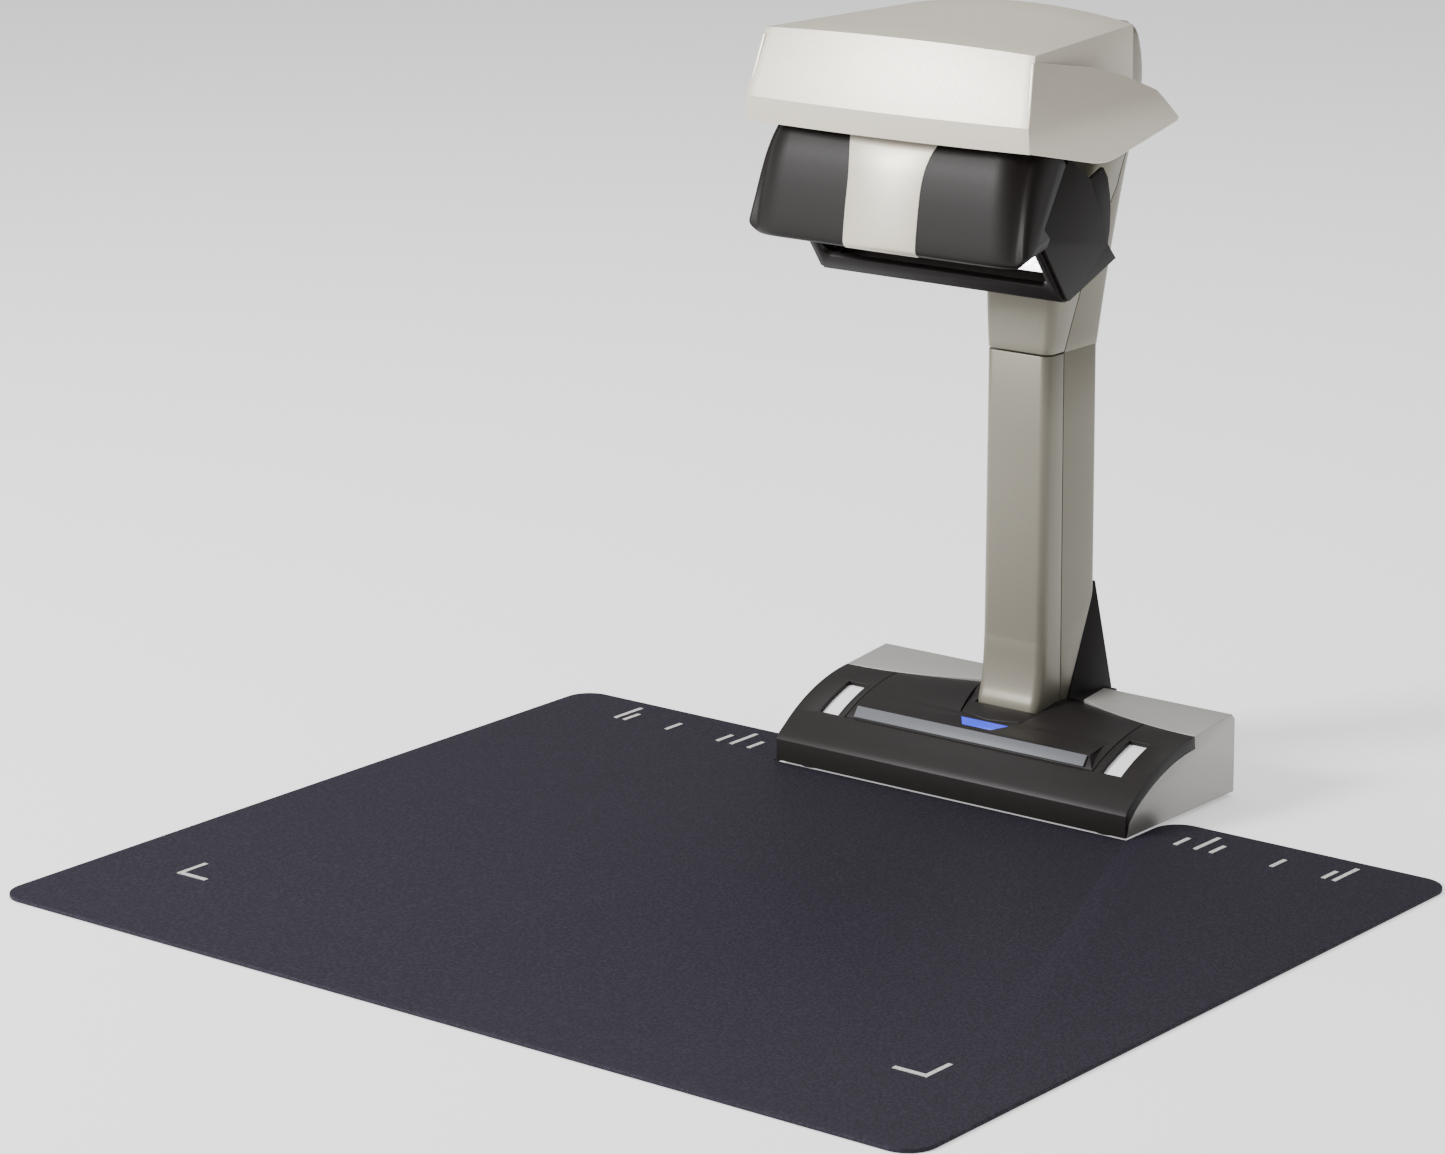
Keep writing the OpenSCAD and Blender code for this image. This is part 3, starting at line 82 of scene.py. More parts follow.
# ---------------------------------------------------------------- floor and light
# A white sheet of paper runs under the scanner, lit by a large soft lamp
# high on the front left, a wide one overhead and a white room around it.
def let_go():
    if bpy.context.mode != "OBJECT":
        bpy.ops.object.mode_set(mode="OBJECT")
    bpy.ops.object.select_all(action="DESELECT")


class Wire:
    """One output in a material. Arithmetic on it adds the Math nodes."""

    def __init__(self, finish, socket):
        self.finish, self.socket = finish, socket

    def sum_up(self, operation, first, second):
        return self.finish.node("ShaderNodeMath", {"operation": operation}, {0: first, 1: second})

    def __add__(self, other):
        return self.sum_up("ADD", self, other)

    __radd__ = __add__

    def __mul__(self, other):
        return self.sum_up("MULTIPLY", self, other)

    __rmul__ = __mul__


class Finish:
    """A material whose colour, gloss and relief are worked out from the piece's own place in space."""

    def __init__(self, name, **fixed):
        self.material = bpy.data.materials.new(name)
        self.material.use_nodes = True
        self.tree = self.material.node_tree
        self.shader = self.tree.nodes["Principled BSDF"]
        for socket, value in fixed.items():
            self.shader.inputs[socket.replace("_", " ")].default_value = value
        self.place = self.node("ShaderNodeTexCoord", out="Object")

    def node(self, kind, settings={}, inputs={}, out=0):
        made = self.tree.nodes.new(kind)
        for key, value in settings.items():
            if key == "stops":
                while len(made.color_ramp.elements) < len(value):
                    made.color_ramp.elements.new(1)
                for stop, (at, colour) in zip(made.color_ramp.elements, value):
                    stop.position, stop.color = at, (*colour, 1)
            else:
                setattr(made, key, value)
        for key, value in inputs.items():
            if isinstance(value, Wire):
                self.tree.links.new(value.socket, made.inputs[key])
            else:
                made.inputs[key].default_value = value
        return Wire(self, made.outputs[out])

    def noise(self, scale, detail=3, rough=0.5):
        return self.node("ShaderNodeTexNoise", {}, {"Vector": self.place, "Scale": scale, "Detail": detail,
            "Roughness": rough}, "Fac")

    def cells(self, scale):
        return self.node("ShaderNodeTexVoronoi", {}, {"Vector": self.place, "Scale": scale}, "Distance")

    def spread(self, value, low, high):
        return self.node("ShaderNodeMapRange", {},
            {"Value": value, "From Min": low, "From Max": high}, "Result")

    def between(self, share, one, two):
        if isinstance(one, tuple):
            one = (*one, 1)
        if isinstance(two, tuple):
            two = (*two, 1)
        return self.node("ShaderNodeMix", {"data_type": "RGBA"}, {0: share, 6: one, 7: two}, 2)

    def feed(self, socket, wire):
        self.tree.links.new(wire.socket, self.shader.inputs[socket])

    def relief(self, height, distance, strength=1.0):
        bump = self.node("ShaderNodeBump", {},
            {"Height": height, "Distance": distance, "Strength": strength}, "Normal")
        self.feed("Normal", bump)


def soft_light(name, size, watts, at, towards, tint=(1, 1, 1)):
    lamp = bpy.data.lights.new(name, "AREA")
    lamp.shape, lamp.size, lamp.size_y, lamp.energy, lamp.color = "RECTANGLE", size[0], size[1], watts, tint
    holder = bpy.data.objects.new(name, lamp)
    holder.location = at
    holder.rotation_mode = "QUATERNION"
    holder.rotation_quaternion = (Vector(towards) - Vector(at)).to_track_quat("-Z", "Y")
    bpy.context.scene.collection.objects.link(holder)
    return holder


let_go()
bpy.ops.mesh.primitive_plane_add(size=14)
floor = bpy.context.object
floor.name = "floor"
paper = Finish("floor_paper", Roughness=0.8, Emission_Color=(1, 1, 1, 1), Emission_Strength=0.5)
paper.feed("Base Color", paper.between(paper.noise(6), (0.86, 0.86, 0.86), (0.88, 0.88, 0.88)))
floor.data.materials.append(paper.material)
room = bpy.data.worlds.new("room")
room.use_nodes = True
room.node_tree.nodes["Background"].inputs["Color"].default_value = (1, 1, 1, 1)
room.node_tree.nodes["Background"].inputs["Strength"].default_value = 0.32
bpy.context.scene.world = room
soft_light("overhead", (2.4, 2.4), 62, (-0.3, 0.3, 2.4), (0, 0, 0.15))
soft_light("front_left", (1.0, 0.9), 150, (-1.5, -2.2, 1.5), (0, 0.1, 0.25))


# ---------------------------------------------------------------- mat
# The mat the book lies on: a 2 mm sheet of dark blue-grey leatherette with
# rounded corners, cut round the base, which stands in its notch.
page_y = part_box("background_mat")[1].y - 0.030
mm = 0.001


def spot(x, y, z):
    """A point from its millimetres: across, back from the page line, up from the desk."""
    return Vector((x * mm, page_y + y * mm, z * mm))


def corners_to(mesh_corners, points):
    for corner, point in zip(mesh_corners, points):
        corner.co = point


def sheet_of(name, points):
    """A flat face drawn through the points."""
    let_go()
    bpy.ops.mesh.primitive_circle_add(vertices=len(points), radius=0.01, fill_type="NGON")
    piece = bpy.context.object
    piece.name = piece.data.name = name
    corners_to(piece.data.vertices, points)
    return piece


def pick(piece, wanted, kind="VERT"):
    """In edit mode, selects the corners, edges or faces for which wanted says yes."""
    bpy.ops.mesh.select_all(action="DESELECT")
    bpy.ops.mesh.select_mode(type=kind)
    shape = bmesh.from_edit_mesh(piece.data)
    for part in {"VERT": shape.verts, "EDGE": shape.edges, "FACE": shape.faces}[kind]:
        if wanted(part):
            part.select_set(True)
    bmesh.update_edit_mesh(piece.data)


def drawn_through(name, rings):
    """A closed body: the first ring is a face, and it is extruded to each ring in turn."""
    piece = sheet_of(name, rings[0])
    bpy.ops.object.mode_set(mode="EDIT")
    bpy.ops.mesh.select_mode(type="VERT")
    bpy.ops.mesh.select_all(action="SELECT")
    for before, after in zip(rings, rings[1:]):
        bpy.ops.mesh.extrude_region_move(TRANSFORM_OT_translate={"value": (0, 0, 0)})
        shape = bmesh.from_edit_mesh(piece.data)
        lifted = [corner for corner in shape.verts if corner.select]
        for old, new in zip(before, after):
            near = min(lifted, key=lambda corner: (corner.co - old).length_squared)
            lifted.remove(near)
            near.co = new
        bmesh.update_edit_mesh(piece.data)
    bpy.ops.mesh.select_all(action="SELECT")
    bpy.ops.mesh.normals_make_consistent(inside=False)
    bpy.ops.object.mode_set(mode="OBJECT")
    return piece


def add_modifier(piece, kind, **settings):
    let_go()
    piece.select_set(True)
    bpy.context.view_layer.objects.active = piece
    modifier = piece.modifiers.new(kind.lower(), kind)
    for key, value in settings.items():
        setattr(modifier, key, value)
    bpy.ops.object.modifier_apply(modifier=modifier.name)


def soften(piece, width, segments=3, angle=28):
    """Rounds every edge that is sharper than the angle."""
    add_modifier(piece, "BEVEL", width=width * mm, segments=segments, limit_method="ANGLE",
        angle_limit=math.radians(angle), harden_normals=False, miter_outer="MITER_ARC")


def hand_over(piece, finish, body, slot_name, *nodes, smooth=38):
    """Gives a finished piece its material and its body, and hides the frame parts it stands for. slot_name is not
    used.
    """
    let_go()
    piece.select_set(True)
    bpy.context.view_layer.objects.active = piece
    bpy.ops.object.shade_smooth_by_angle(angle=math.radians(smooth))
    piece.data.materials.clear()
    piece.data.materials.append(finish.material)
    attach(piece, body)
    if nodes:
        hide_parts(*nodes)
    return piece


mat_low, mat_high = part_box("background_mat")
mat_hw, mat_front, mat_back, mat_top = mat_high.x / mm, (mat_low.y - page_y) / mm, 30, mat_high.z / mm
notch_hw, notch_front = 106, -8
mat = sheet_of("mat", [spot(x, y, 0) for x, y in (
    (-mat_hw, mat_front), (mat_hw, mat_front), (mat_hw, mat_back), (notch_hw, mat_back),
    (notch_hw, notch_front), (-notch_hw, notch_front), (-notch_hw, mat_back), (-mat_hw, mat_back))])
bpy.ops.object.mode_set(mode="EDIT")
pick(mat, lambda corner: abs(corner.co.y - spot(0, notch_front, 0).y) > 0.001)
bpy.ops.mesh.bevel(affect="VERTICES", offset=14 * mm, segments=10)
bpy.ops.mesh.select_all(action="SELECT")
bpy.ops.mesh.extrude_region_move(TRANSFORM_OT_translate={"value": (0, 0, mat_top * mm)})
bpy.ops.mesh.select_all(action="SELECT")
bpy.ops.mesh.normals_make_consistent(inside=False)
bpy.ops.object.mode_set(mode="OBJECT")
soften(mat, 0.5, 2)
leatherette = Finish("dark_leatherette", Specular_IOR_Level=0.22)
grain = leatherette.cells(620)
weave = leatherette.noise(1500, 2)
cloudy = leatherette.noise(9, 3)
shade = leatherette.between(cloudy, (0.0080, 0.0066, 0.0125), (0.0110, 0.0092, 0.0170))
leatherette.feed("Base Color", leatherette.between(
    leatherette.spread(grain, 0.25, 0.75), shade, (0.018, 0.0155, 0.027)))
leatherette.feed("Roughness", 0.56 + 0.22 * weave)
leatherette.relief(grain + 0.5 * weave, 0.00025, 0.8)
hand_over(mat, leatherette, "base", "mat", "background_mat")


# ---------------------------------------------------------------- page marks
# Bars for the page sizes and two corner marks, printed on the mat in pale
# grey ink that the grain of the mat breaks up a little.
def dress(node, finish):
    """Gives a frame piece, which keeps its shape, its finish."""
    mesh = frame["nodes"][node].data
    mesh.materials.clear()
    mesh.materials.append(finish.material)


mark_ink = Finish("page_mark_ink", Roughness=0.6)
worn = mark_ink.spread(mark_ink.cells(900), 0.1, 0.9)
mark_ink.feed("Base Color", mark_ink.between(worn, (0.62, 0.60, 0.58), (0.42, 0.41, 0.40)))
mark_ink.relief(worn, 0.0001, 0.5)
dress("mat_guides", mark_ink)


# ---------------------------------------------------------------- silver base covers
# Two painted shells left and right of the column. They are moulded with a
# soft edge all round and sprayed with a fine aluminium paint.
def from_frame(name, node, width, segments=3, angle=28, flat=2):
    """A copy of a frame part with its loose triangles joined and its edges rounded."""
    let_go()
    mesh = frame["nodes"][node].data.copy()
    piece = bpy.data.objects.new(name, mesh)
    mesh.name = name
    bpy.context.scene.collection.objects.link(piece)
    piece.select_set(True)
    bpy.context.view_layer.objects.active = piece
    bpy.ops.object.mode_set(mode="EDIT")
    bpy.ops.mesh.select_mode(type="VERT")
    bpy.ops.mesh.select_all(action="SELECT")
    bpy.ops.mesh.remove_doubles(threshold=0.00002)
    bpy.ops.mesh.customdata_custom_splitnormals_clear()
    bpy.ops.mesh.dissolve_limited(angle_limit=math.radians(flat))
    bpy.ops.object.mode_set(mode="OBJECT")
    if width:
        soften(piece, width, segments, angle)
    return piece


def metal_paint(name, light, dark, rough, metallic=0.35):
    """Sprayed aluminium paint: tiny bright flakes in a smooth lacquer."""
    finish = Finish(name, Metallic=metallic, Coat_Weight=0.25, Coat_Roughness=0.25)
    flakes = finish.spread(finish.cells(2600), 0.15, 0.65)
    drift = finish.noise(22, 2)
    base = finish.between(drift, dark, light)
    finish.feed("Base Color", finish.between(flakes, base, tuple(0.92 * part for part in dark)))
    finish.feed("Roughness", rough + 0.10 * finish.noise(900, 2))
    finish.relief(finish.noise(1400, 2), 0.00002, 0.6)
    return finish


silver_paint = metal_paint("warm_silver_paint", (0.66, 0.61, 0.51), (0.61, 0.56, 0.465), 0.36)
base_silver = metal_paint("base_silver_paint", (0.40, 0.39, 0.365), (0.37, 0.36, 0.34), 0.38)
base_covers = from_frame("base_covers", "base_cover", 1.0)
hand_over(base_covers, base_silver, "base", "silver_paint", "base_cover")


# ---------------------------------------------------------------- bezel and collar
# The black front of the base, one curved moulding with an opening for the
# scan panel, and the collar round the column's foot. Finely sparked plastic.
def moulded(name, light, dark, rough, grain_size=1300, depth=0.00004):
    """Moulded plastic with the fine sparked grain of its tool."""
    finish = Finish(name, Specular_IOR_Level=0.22)
    grain = finish.noise(grain_size, 3, 0.6)
    finish.feed("Base Color", finish.between(finish.noise(30, 3), dark, light))
    finish.feed("Roughness", rough - 0.06 + 0.16 * grain)
    finish.relief(grain, depth, 0.7)
    return finish


bezel_black = moulded("sparked_black_plastic", (0.0150, 0.0125, 0.0120), (0.0120, 0.0100, 0.0098), 0.44)
bezel = from_frame("bezel", "front_bezel", 0.5, 3)
hand_over(bezel, bezel_black, "base", "black_plastic", "front_bezel")
collar = from_frame("foot_collar", "column_collar", 0.3, 2)
hand_over(collar, bezel_black, "base", "black_plastic", "column_collar")


# ---------------------------------------------------------------- reference sheets
# Two white calibration sheets that show through windows in the bezel. Matt
# film with a faint tooth.
white_film = Finish("white_reference_film", Roughness=0.6)
white_film.feed("Base Color", white_film.between(white_film.noise(400), (0.86, 0.86, 0.86), (0.90, 0.90, 0.90)))
white_film.relief(white_film.noise(1800), 0.00001, 0.4)
dress("reference_sheets", white_film)


# ---------------------------------------------------------------- scan panel and buttons
# The wide sprung panel is pressed to scan. It carries a grey strip along its
# front and a blue light window; the stop button fills its middle.
panel = from_frame("scan_panel_cover", "scan_panel", 0.5, 3, 24)
hand_over(panel, bezel_black, "scan_key", "black_plastic", "scan_panel")
strip_grey = moulded("grey_strip_plastic", (0.135, 0.140, 0.155), (0.12, 0.125, 0.14), 0.42, 1100)
strip = from_frame("front_strip", "scan_strip", 0.25, 2)
hand_over(strip, strip_grey, "scan_key", "strip_grey", "scan_strip")
blue_light = Finish("blue_light_window", Roughness=0.25, Emission_Strength=0.8, Coat_Weight=0.3)
glow = blue_light.noise(60, 1)
blue_light.feed("Base Color", blue_light.between(glow, (0.02, 0.03, 0.55), (0.03, 0.05, 0.65)))
blue_light.feed("Emission Color", blue_light.between(glow, (0.02, 0.04, 0.85), (0.03, 0.07, 0.95)))
window = from_frame("light_window", "status_window", 0.25, 2)
hand_over(window, blue_light, "scan_key", "blue_window", "status_window")
stop_key = from_frame("stop_key_cap", "stop_button", 0.4, 3)
hand_over(stop_key, bezel_black, "stop_key", "black_plastic", "stop_button")


# ---------------------------------------------------------------- rear leg
# The black leg behind the column, whose gusset runs up its back.
gusset = from_frame("rear_leg", "rear_gusset", 0.8, 3)
hand_over(gusset, bezel_black, "base", "black_plastic", "rear_gusset")


# ---------------------------------------------------------------- column and neck
# Painted covers round the tube: a front and a rear half with a seam down each
# side, and above the cross seam the neck, which widens into the hood.
def through(values, count):
    """More values on a smooth curve through the given rows of numbers."""
    rows = []
    ends = [values[0]] + list(values) + [values[-1]]
    for i in range(1, len(ends) - 2):
        for k in range(count):
            t = k / count
            a, b, c, d = ends[i - 1:i + 3]
            rows.append(tuple(0.5 * (2 * q + (r - p) * t + (2 * p - 5 * q + 4 * r - s) * t ** 2
                + (3 * q - p - 3 * r + s) * t ** 3) for p, q, r, s in zip(a, b, c, d)))
    return rows + [tuple(values[-1])]


def level_ring(z, half, front, rear, radius, crown=0):
    """A level outline with rounded corners."""
    points = []
    for sx, sy, start in ((1, 1, 0), (-1, 1, 90), (-1, -1, 180), (1, -1, 270)):
        for k in range(9):
            a = math.radians(start + k * 11.25)
            x = sx * (half - radius) + radius * math.cos(a)
            y = (rear - radius if sy > 0 else front + radius) + radius * math.sin(a)
            points.append(spot(x, y, z + crown * (1 - (x / half) ** 2)))
    return points


def parted(name, whole, cutter, keep):
    """A copy of the whole, cut by the cutter: keep is INTERSECT or DIFFERENCE."""
    piece = whole.copy()
    piece.data = whole.data.copy()
    piece.name = piece.data.name = name
    bpy.context.scene.collection.objects.link(piece)
    add_modifier(piece, "BOOLEAN", object=cutter, operation=keep, solver="EXACT")
    return piece


def discard(*pieces):
    for piece in pieces:
        bpy.data.objects.remove(piece)


col_hw, col_front, col_back, seam_z, side_seam, gap = 18.7, 48.8, 93, 214, 62.5, 0.4
roof_z = 378.4
column_paint = metal_paint("champagne_paint", (0.225, 0.207, 0.158), (0.20, 0.185, 0.142), 0.38, 0.4)
foot_sweep = through([(31.9, 42), (39, 42), (45, 43.9), (55, 45.5), (69, 46.4), (85, 46.8), (seam_z, col_front)], 3)
column_whole = drawn_through("column_whole", [level_ring(z, col_hw, front, col_back, 5) for z, front in foot_sweep])
neck_rows = through([(214, 18.9, 49.2, 93, 4.5, 0), (242, 21.5, 50.5, 96.5, 5.5, 0), (269.9, 26.5, 57, 98, 8, 0),
    (299.5, 33.5, 65, 97.5, 10, 0), (324.1, 42, 67, 94, 12, 0), (348.8, 52.7, 52.5, 84, 12, 0),
    (371.8, 59.1, 52.5, 67, 7, 2), (378.4, 57.1, 52.5, 58, 2.5, 4.5)], 4)
neck_whole = drawn_through("neck_whole", [level_ring(*row) for row in neck_rows])


def side_prism(name, outline):
    """A prism across the whole width, from its outline in depth and height."""
    return drawn_through(name, [[spot(x, y, z) for y, z in outline] for x in (-120, 120)])


front_half = side_prism("front_half", [(-60, -10), (side_seam - gap / 2, -10), (side_seam - gap / 2, seam_z - gap),
    (-60, seam_z - gap)])
column_front = parted("column_front", column_whole, front_half, "INTERSECT")
not_front = side_prism("not_front", [(-60, -10), (side_seam + gap / 2, -10), (side_seam + gap / 2, seam_z),
    (side_seam + gap / 2 + 7.4, seam_z + 23), (side_seam + gap / 2 + 24, seam_z + 80),
    (side_seam + gap / 2 + 24, seam_z + 98), (-60, seam_z + 98)])
behind_gusset = side_prism("behind_gusset", [(68.6, -5), (68.6, 39), (92, 93.5), (130, 93.5), (130, -5)])
column_rear = parted("column_rear", column_whole, not_front, "DIFFERENCE")
add_modifier(column_rear, "BOOLEAN", object=behind_gusset, operation="DIFFERENCE", solver="EXACT")
neck_rear = parted("neck_rear", neck_whole, not_front, "DIFFERENCE")
neck_prism = side_prism("neck_prism", [(-60, seam_z + gap), (side_seam - gap / 2, seam_z + gap),
    (side_seam - gap / 2 + 7.4, seam_z + 23), (side_seam - gap / 2 + 24, seam_z + 80),
    (side_seam - gap / 2 + 24, seam_z + 98 - gap), (-60, seam_z + 98 - gap)])
neck_front = parted("neck_front", neck_whole, neck_prism, "INTERSECT")
discard(column_whole, neck_whole, front_half, not_front, behind_gusset, neck_prism)
for piece, node in ((column_front, "column_front_cover"), (column_rear, "column_rear_cover"),
        (neck_rear, None), (neck_front, "neck_front_cover")):
    soften(piece, 0.35, 2, 40)
    hand_over(piece, column_paint, "base", "champagne_paint", *([node] if node else []))


# ---------------------------------------------------------------- hood
# One painted shell: a crowned roof, a front that bows forward and breaks at a
# crease, and open below, where the head swings. Its lower edges are cut back
# behind the wings, where the head's shoulders pass.
hood_hw, hood_rear_hw, hood_reach, hood_back, crown, front_crown, bow = 81.2, 63.1, 57.8, 52, 5.5, 2.2, 4
hood_wall, hood_low, crease_z = 2.4, 333.5, 345.4
pivot = spot(0, -10, 332)
hood_rings = []
for k in range(-16, 17):
    u = k / 16
    b = bow * (1 - u * u)
    rise = crown * (1 - u * u)
    front_roof = (u * (hood_hw - 4), -hood_reach + 10.3 - b, roof_z - 1.7 + front_crown * (1 - u * u))
    rear_roof = (u * hood_rear_hw, hood_back, roof_z + rise)
    ring = [(u * hood_hw, -hood_reach + 0.8 - b, hood_low), (u * hood_hw, -hood_reach - b, crease_z), front_roof]
    ring += [tuple(p + (q - p) * t for p, q in zip(front_roof, rear_roof)) for t in (0.25, 0.5, 0.75)]
    ring += [rear_roof, (u * hood_rear_hw, hood_back, roof_z - 28)]
    hood_rings.append([spot(*point) for point in ring])
hood = drawn_through("hood", hood_rings)
bpy.ops.object.mode_set(mode="EDIT")
pick(hood, lambda face: face.normal.z < -0.8 and face.calc_center_median().z < 0.36, "FACE")
bpy.ops.mesh.delete(type="FACE")
bpy.ops.object.mode_set(mode="OBJECT")
add_modifier(hood, "SOLIDIFY", thickness=hood_wall * mm, offset=-1, use_even_offset=True)
for side in (-1, 1):
    shoulder = drawn_through("shoulder", [
        [spot(side * x, y, z) for y, z in ((-44, 330), (-22, 330), (-22, 339), (-44, 339))] for x in (73, 80.5)])
    add_modifier(hood, "BOOLEAN", object=shoulder, operation="DIFFERENCE", solver="EXACT")
    discard(shoulder)
soften(hood, 1.3, 4, 13)
hand_over(hood, silver_paint, "base", "silver_paint", "hood_cover", smooth=32)


# ---------------------------------------------------------------- hood wings
# A cheek on each side of the hood that runs back past the roof to a point
# and leans inwards above the crease, with a rounded rim all round.
wing_t, wing_lean = 2.4, 0.128
for side, label in ((-1, "left"), (1, "right")):
    edge = [(-49.2, 374), (-57.6, crease_z), (-57, 333.6), (-3, 321.8), (8, 321.4), (63, 333), (64.6, 334.8),
        (46.3, 350), (22, 359.4), (-3.5, 366.2), (-28, 370.4)]
    wing = sheet_of("wing_" + label, [spot(side * (hood_hw + 0.4), y, z) for y, z in edge])
    bpy.ops.object.mode_set(mode="EDIT")
    pick(wing, lambda corner: -0.01 < corner.co.y - page_y < 0.01 and corner.co.z < 0.33)
    bpy.ops.mesh.bevel(affect="VERTICES", offset=5 * mm, segments=5)
    bpy.ops.mesh.select_all(action="SELECT")
    bpy.ops.mesh.bisect(plane_co=spot(0, 0, crease_z), plane_no=(0, 0, 1))
    bpy.ops.mesh.select_all(action="SELECT")
    bpy.ops.mesh.extrude_region_move(TRANSFORM_OT_translate={"value": (-side * wing_t * mm, 0, 0)})
    for corner in bmesh.from_edit_mesh(wing.data).verts:
        corner.co.x -= side * wing_lean * max(0, corner.co.z - crease_z * mm)
    bpy.ops.mesh.select_all(action="SELECT")
    bpy.ops.mesh.normals_make_consistent(inside=False)
    bpy.ops.object.mode_set(mode="OBJECT")
    soften(wing, 0.7, 3)
    hand_over(wing, silver_paint, "base", "silver_paint", "hood_wing_" + label)


# ---------------------------------------------------------------- head front cover
# The front shell of the scanning head: soft-touch black, narrower below, its
# ends rounded towards the side plates, and open below for the lamp.
aim = math.radians(36)
head_hw, cut_y, end_round = 77, 2, 20
plate_hw, cover_flare, cover_wall = 72, 0.0008, 2.2


def on_head(x, y, z):
    """A point of the head, from millimetres about the swing axis with the optics straight down."""
    return pivot + Vector((x * mm, (y * math.cos(aim) + z * math.sin(aim)) * mm,
        (-y * math.sin(aim) + z * math.cos(aim)) * mm))


front_line = through([(-20, -9.5), (-27, -10.8), (-31, -15.5), (-32.2, -24), (-30.6, -34), (-27, -43.5), (-23, -52),
    (-18.6, -60.5), (-15, -67), (-12.4, -70.6), (-9.6, -71)], 3)
head_line = [(cut_y, -9.5)] + front_line + [(-1, -62.2), (8.6, -51.6), (cut_y, -50)]


def head_ring(x, line):
    u = max(0, (abs(x) - head_hw + end_round) / end_round)
    f = max(0, 1 - u ** 2.2) ** (1 / 2.2)
    g, h = 0.25 + 0.75 * f, 0.8 + 0.2 * f
    rear = cut_y - max(0, abs(x) - plate_hw) * 1.5
    ring = []
    for y, z in line:
        low = -36 + (z + 36) * h
        ring.append(on_head(x * (1 - cover_flare * (low + 10)), rear + (y - cut_y) * (g if y < cut_y else 1), low))
    return ring


steps = [math.sin(math.radians(k * 7.5)) for k in range(13)]
right_end = [head_hw - end_round + end_round * s for s in steps]
stations = [-x for x in reversed(right_end)] + [-45, -30, -15, 0, 15, 30, 45] + right_end
head_cover = drawn_through("head_cover", [head_ring(x, head_line) for x in stations])
bpy.ops.object.mode_set(mode="EDIT")
rearward = (on_head(0, 1, 0) - pivot).normalized()
pick(head_cover, lambda face: (face.normal.dot(rearward) > 0.5 and
    (face.calc_center_median() - pivot).dot(rearward) > -0.0095) and abs(face.normal.x) < 0.5, "FACE")
bpy.ops.mesh.delete(type="FACE")
bpy.ops.object.mode_set(mode="OBJECT")
add_modifier(head_cover, "SOLIDIFY", thickness=cover_wall * mm, offset=-1, use_even_offset=False)
soften(head_cover, 0.45, 2, 40)
soft_black = moulded("soft_black_paint", (0.0075, 0.0054, 0.0048), (0.0062, 0.0046, 0.0041), 0.46, 1700, 0.00002)
hand_over(head_cover, soft_black, "scan_head", "black_plastic", "head_front_cover")


# ---------------------------------------------------------------- head band
# A bright waisted band laid over the middle of the front cover, from the hood
# down to the lamp opening. Thin painted plastic.
def band_half(z):
    return 20.9 + 12.5 * max(0, (z + 47) / 40) ** 1.9


def outward(line, i):
    before, after = line[max(i - 1, 0)], line[min(i + 1, len(line) - 1)]
    run = Vector((after[0] - before[0], after[1] - before[1])).normalized()
    return Vector((run.y, -run.x))


band_line = front_line + [(-6.5, -68.4)]
band_rings = []
for i, (y, z) in enumerate(band_line):
    n = outward(band_line, i)
    if n.x > 0 and i < len(band_line) - 6:
        n = -n
    half = band_half(z)
    outer, inner = (y + n.x * 0.35, z + n.y * 0.35), (y - n.x * 1.0, z - n.y * 1.0)
    band_rings.append([on_head(-half, *outer), on_head(0, *outer), on_head(half, *outer), on_head(half, *inner),
        on_head(0, *inner), on_head(-half, *inner)])
band = drawn_through("head_band_strip", band_rings)
soften(band, 0.25, 2, 50)
hand_over(band, silver_paint, "scan_head", "silver_paint", "head_band")


# ---------------------------------------------------------------- head sides and rear
# Flat side plates, the folded rear wall and the frame round the lamp opening,
# all in the same soft black.
for name, node in (("head_plate_left", "head_side_left"), ("head_plate_right", "head_side_right"),
        ("head_back", "head_rear_wall"), ("lamp_frame", "lamp_bezel")):
    piece = from_frame(name, node, 0.4, 2)
    hand_over(piece, soft_black, "scan_head", "black_plastic", node)


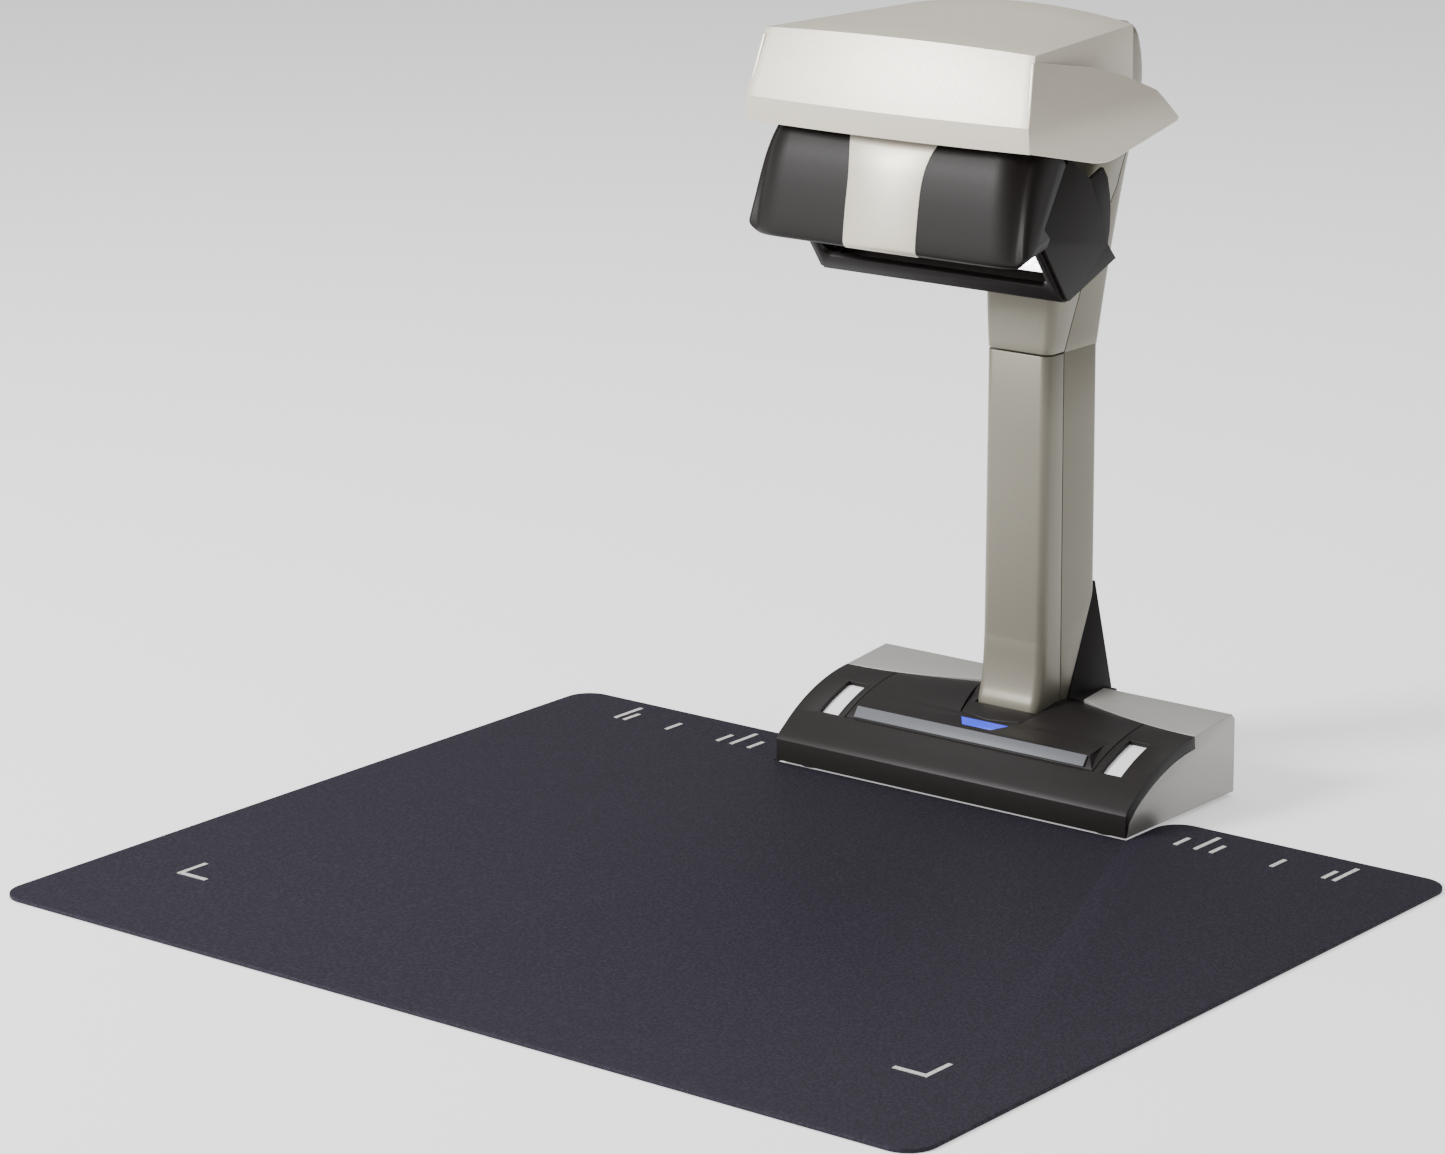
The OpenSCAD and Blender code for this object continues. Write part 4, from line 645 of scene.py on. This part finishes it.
# ---------------------------------------------------------------- lamp
# White light-emitting diodes on a bar behind the lamp opening, with bright
# reflectors at its ends.
lamp_white = Finish("lit_lamp", Roughness=0.3, Emission_Strength=6.0)
lamp_white.feed("Base Color", lamp_white.between(lamp_white.noise(300), (0.9, 0.9, 0.95), (0.95, 0.95, 1.0)))
lamp_white.feed("Emission Color", lamp_white.between(lamp_white.noise(300), (0.92, 0.95, 1.0), (1.0, 1.0, 1.0)))
dress("lamp_bar", lamp_white)


# ---------------------------------------------------------------- inner parts
# What is under the covers keeps the frame's shapes, each with the finish of
# its own material.
def metal(name, colour, rough, scratch):
    finish = Finish(name, Metallic=1.0)
    streaks = finish.noise(scratch, 4, 0.6)
    finish.feed("Base Color", finish.between(streaks, colour, tuple(0.8 * part for part in colour)))
    finish.feed("Roughness", rough - 0.08 + 0.2 * streaks)
    finish.relief(streaks, 0.00003, 0.4)
    return finish


inner = {
    "foot_rubber": moulded("foot_rubber", (0.05, 0.05, 0.05), (0.035, 0.035, 0.035), 0.8, 900, 0.00008),
    "black_plastic": bezel_black,
    "steel": metal("zinc_plated_steel", (0.62, 0.63, 0.65), 0.32, 240),
    "aluminium": metal("extruded_aluminium", (0.80, 0.81, 0.82), 0.30, 180),
    "board_green": moulded("board_lacquer", (0.02, 0.12, 0.06), (0.015, 0.09, 0.045), 0.35, 500),
    "component_black": moulded("component_black", (0.03, 0.03, 0.032), (0.02, 0.02, 0.022), 0.5, 1500),
    "gear_white": moulded("gear_nylon", (0.75, 0.74, 0.70), (0.70, 0.69, 0.65), 0.4, 800),
    "brass": metal("sintered_bronze", (0.70, 0.50, 0.22), 0.35, 400),
    "cable_white": moulded("ribbon_white", (0.66, 0.66, 0.64), (0.60, 0.60, 0.58), 0.45, 900),
    "lens_glass": moulded("lens_barrel", (0.03, 0.03, 0.05), (0.02, 0.02, 0.03), 0.15, 1200),
    "mirror_glass": metal("mirror_film", (0.90, 0.91, 0.93), 0.12, 60),
}
for part in frame["record"]["subparts"]:
    node = frame["nodes"][part["node"]]
    if not node.hide_render and part["material_slot"] in inner and part["node"] != "lamp_bar":
        dress(part["node"], inner[part["material_slot"]])
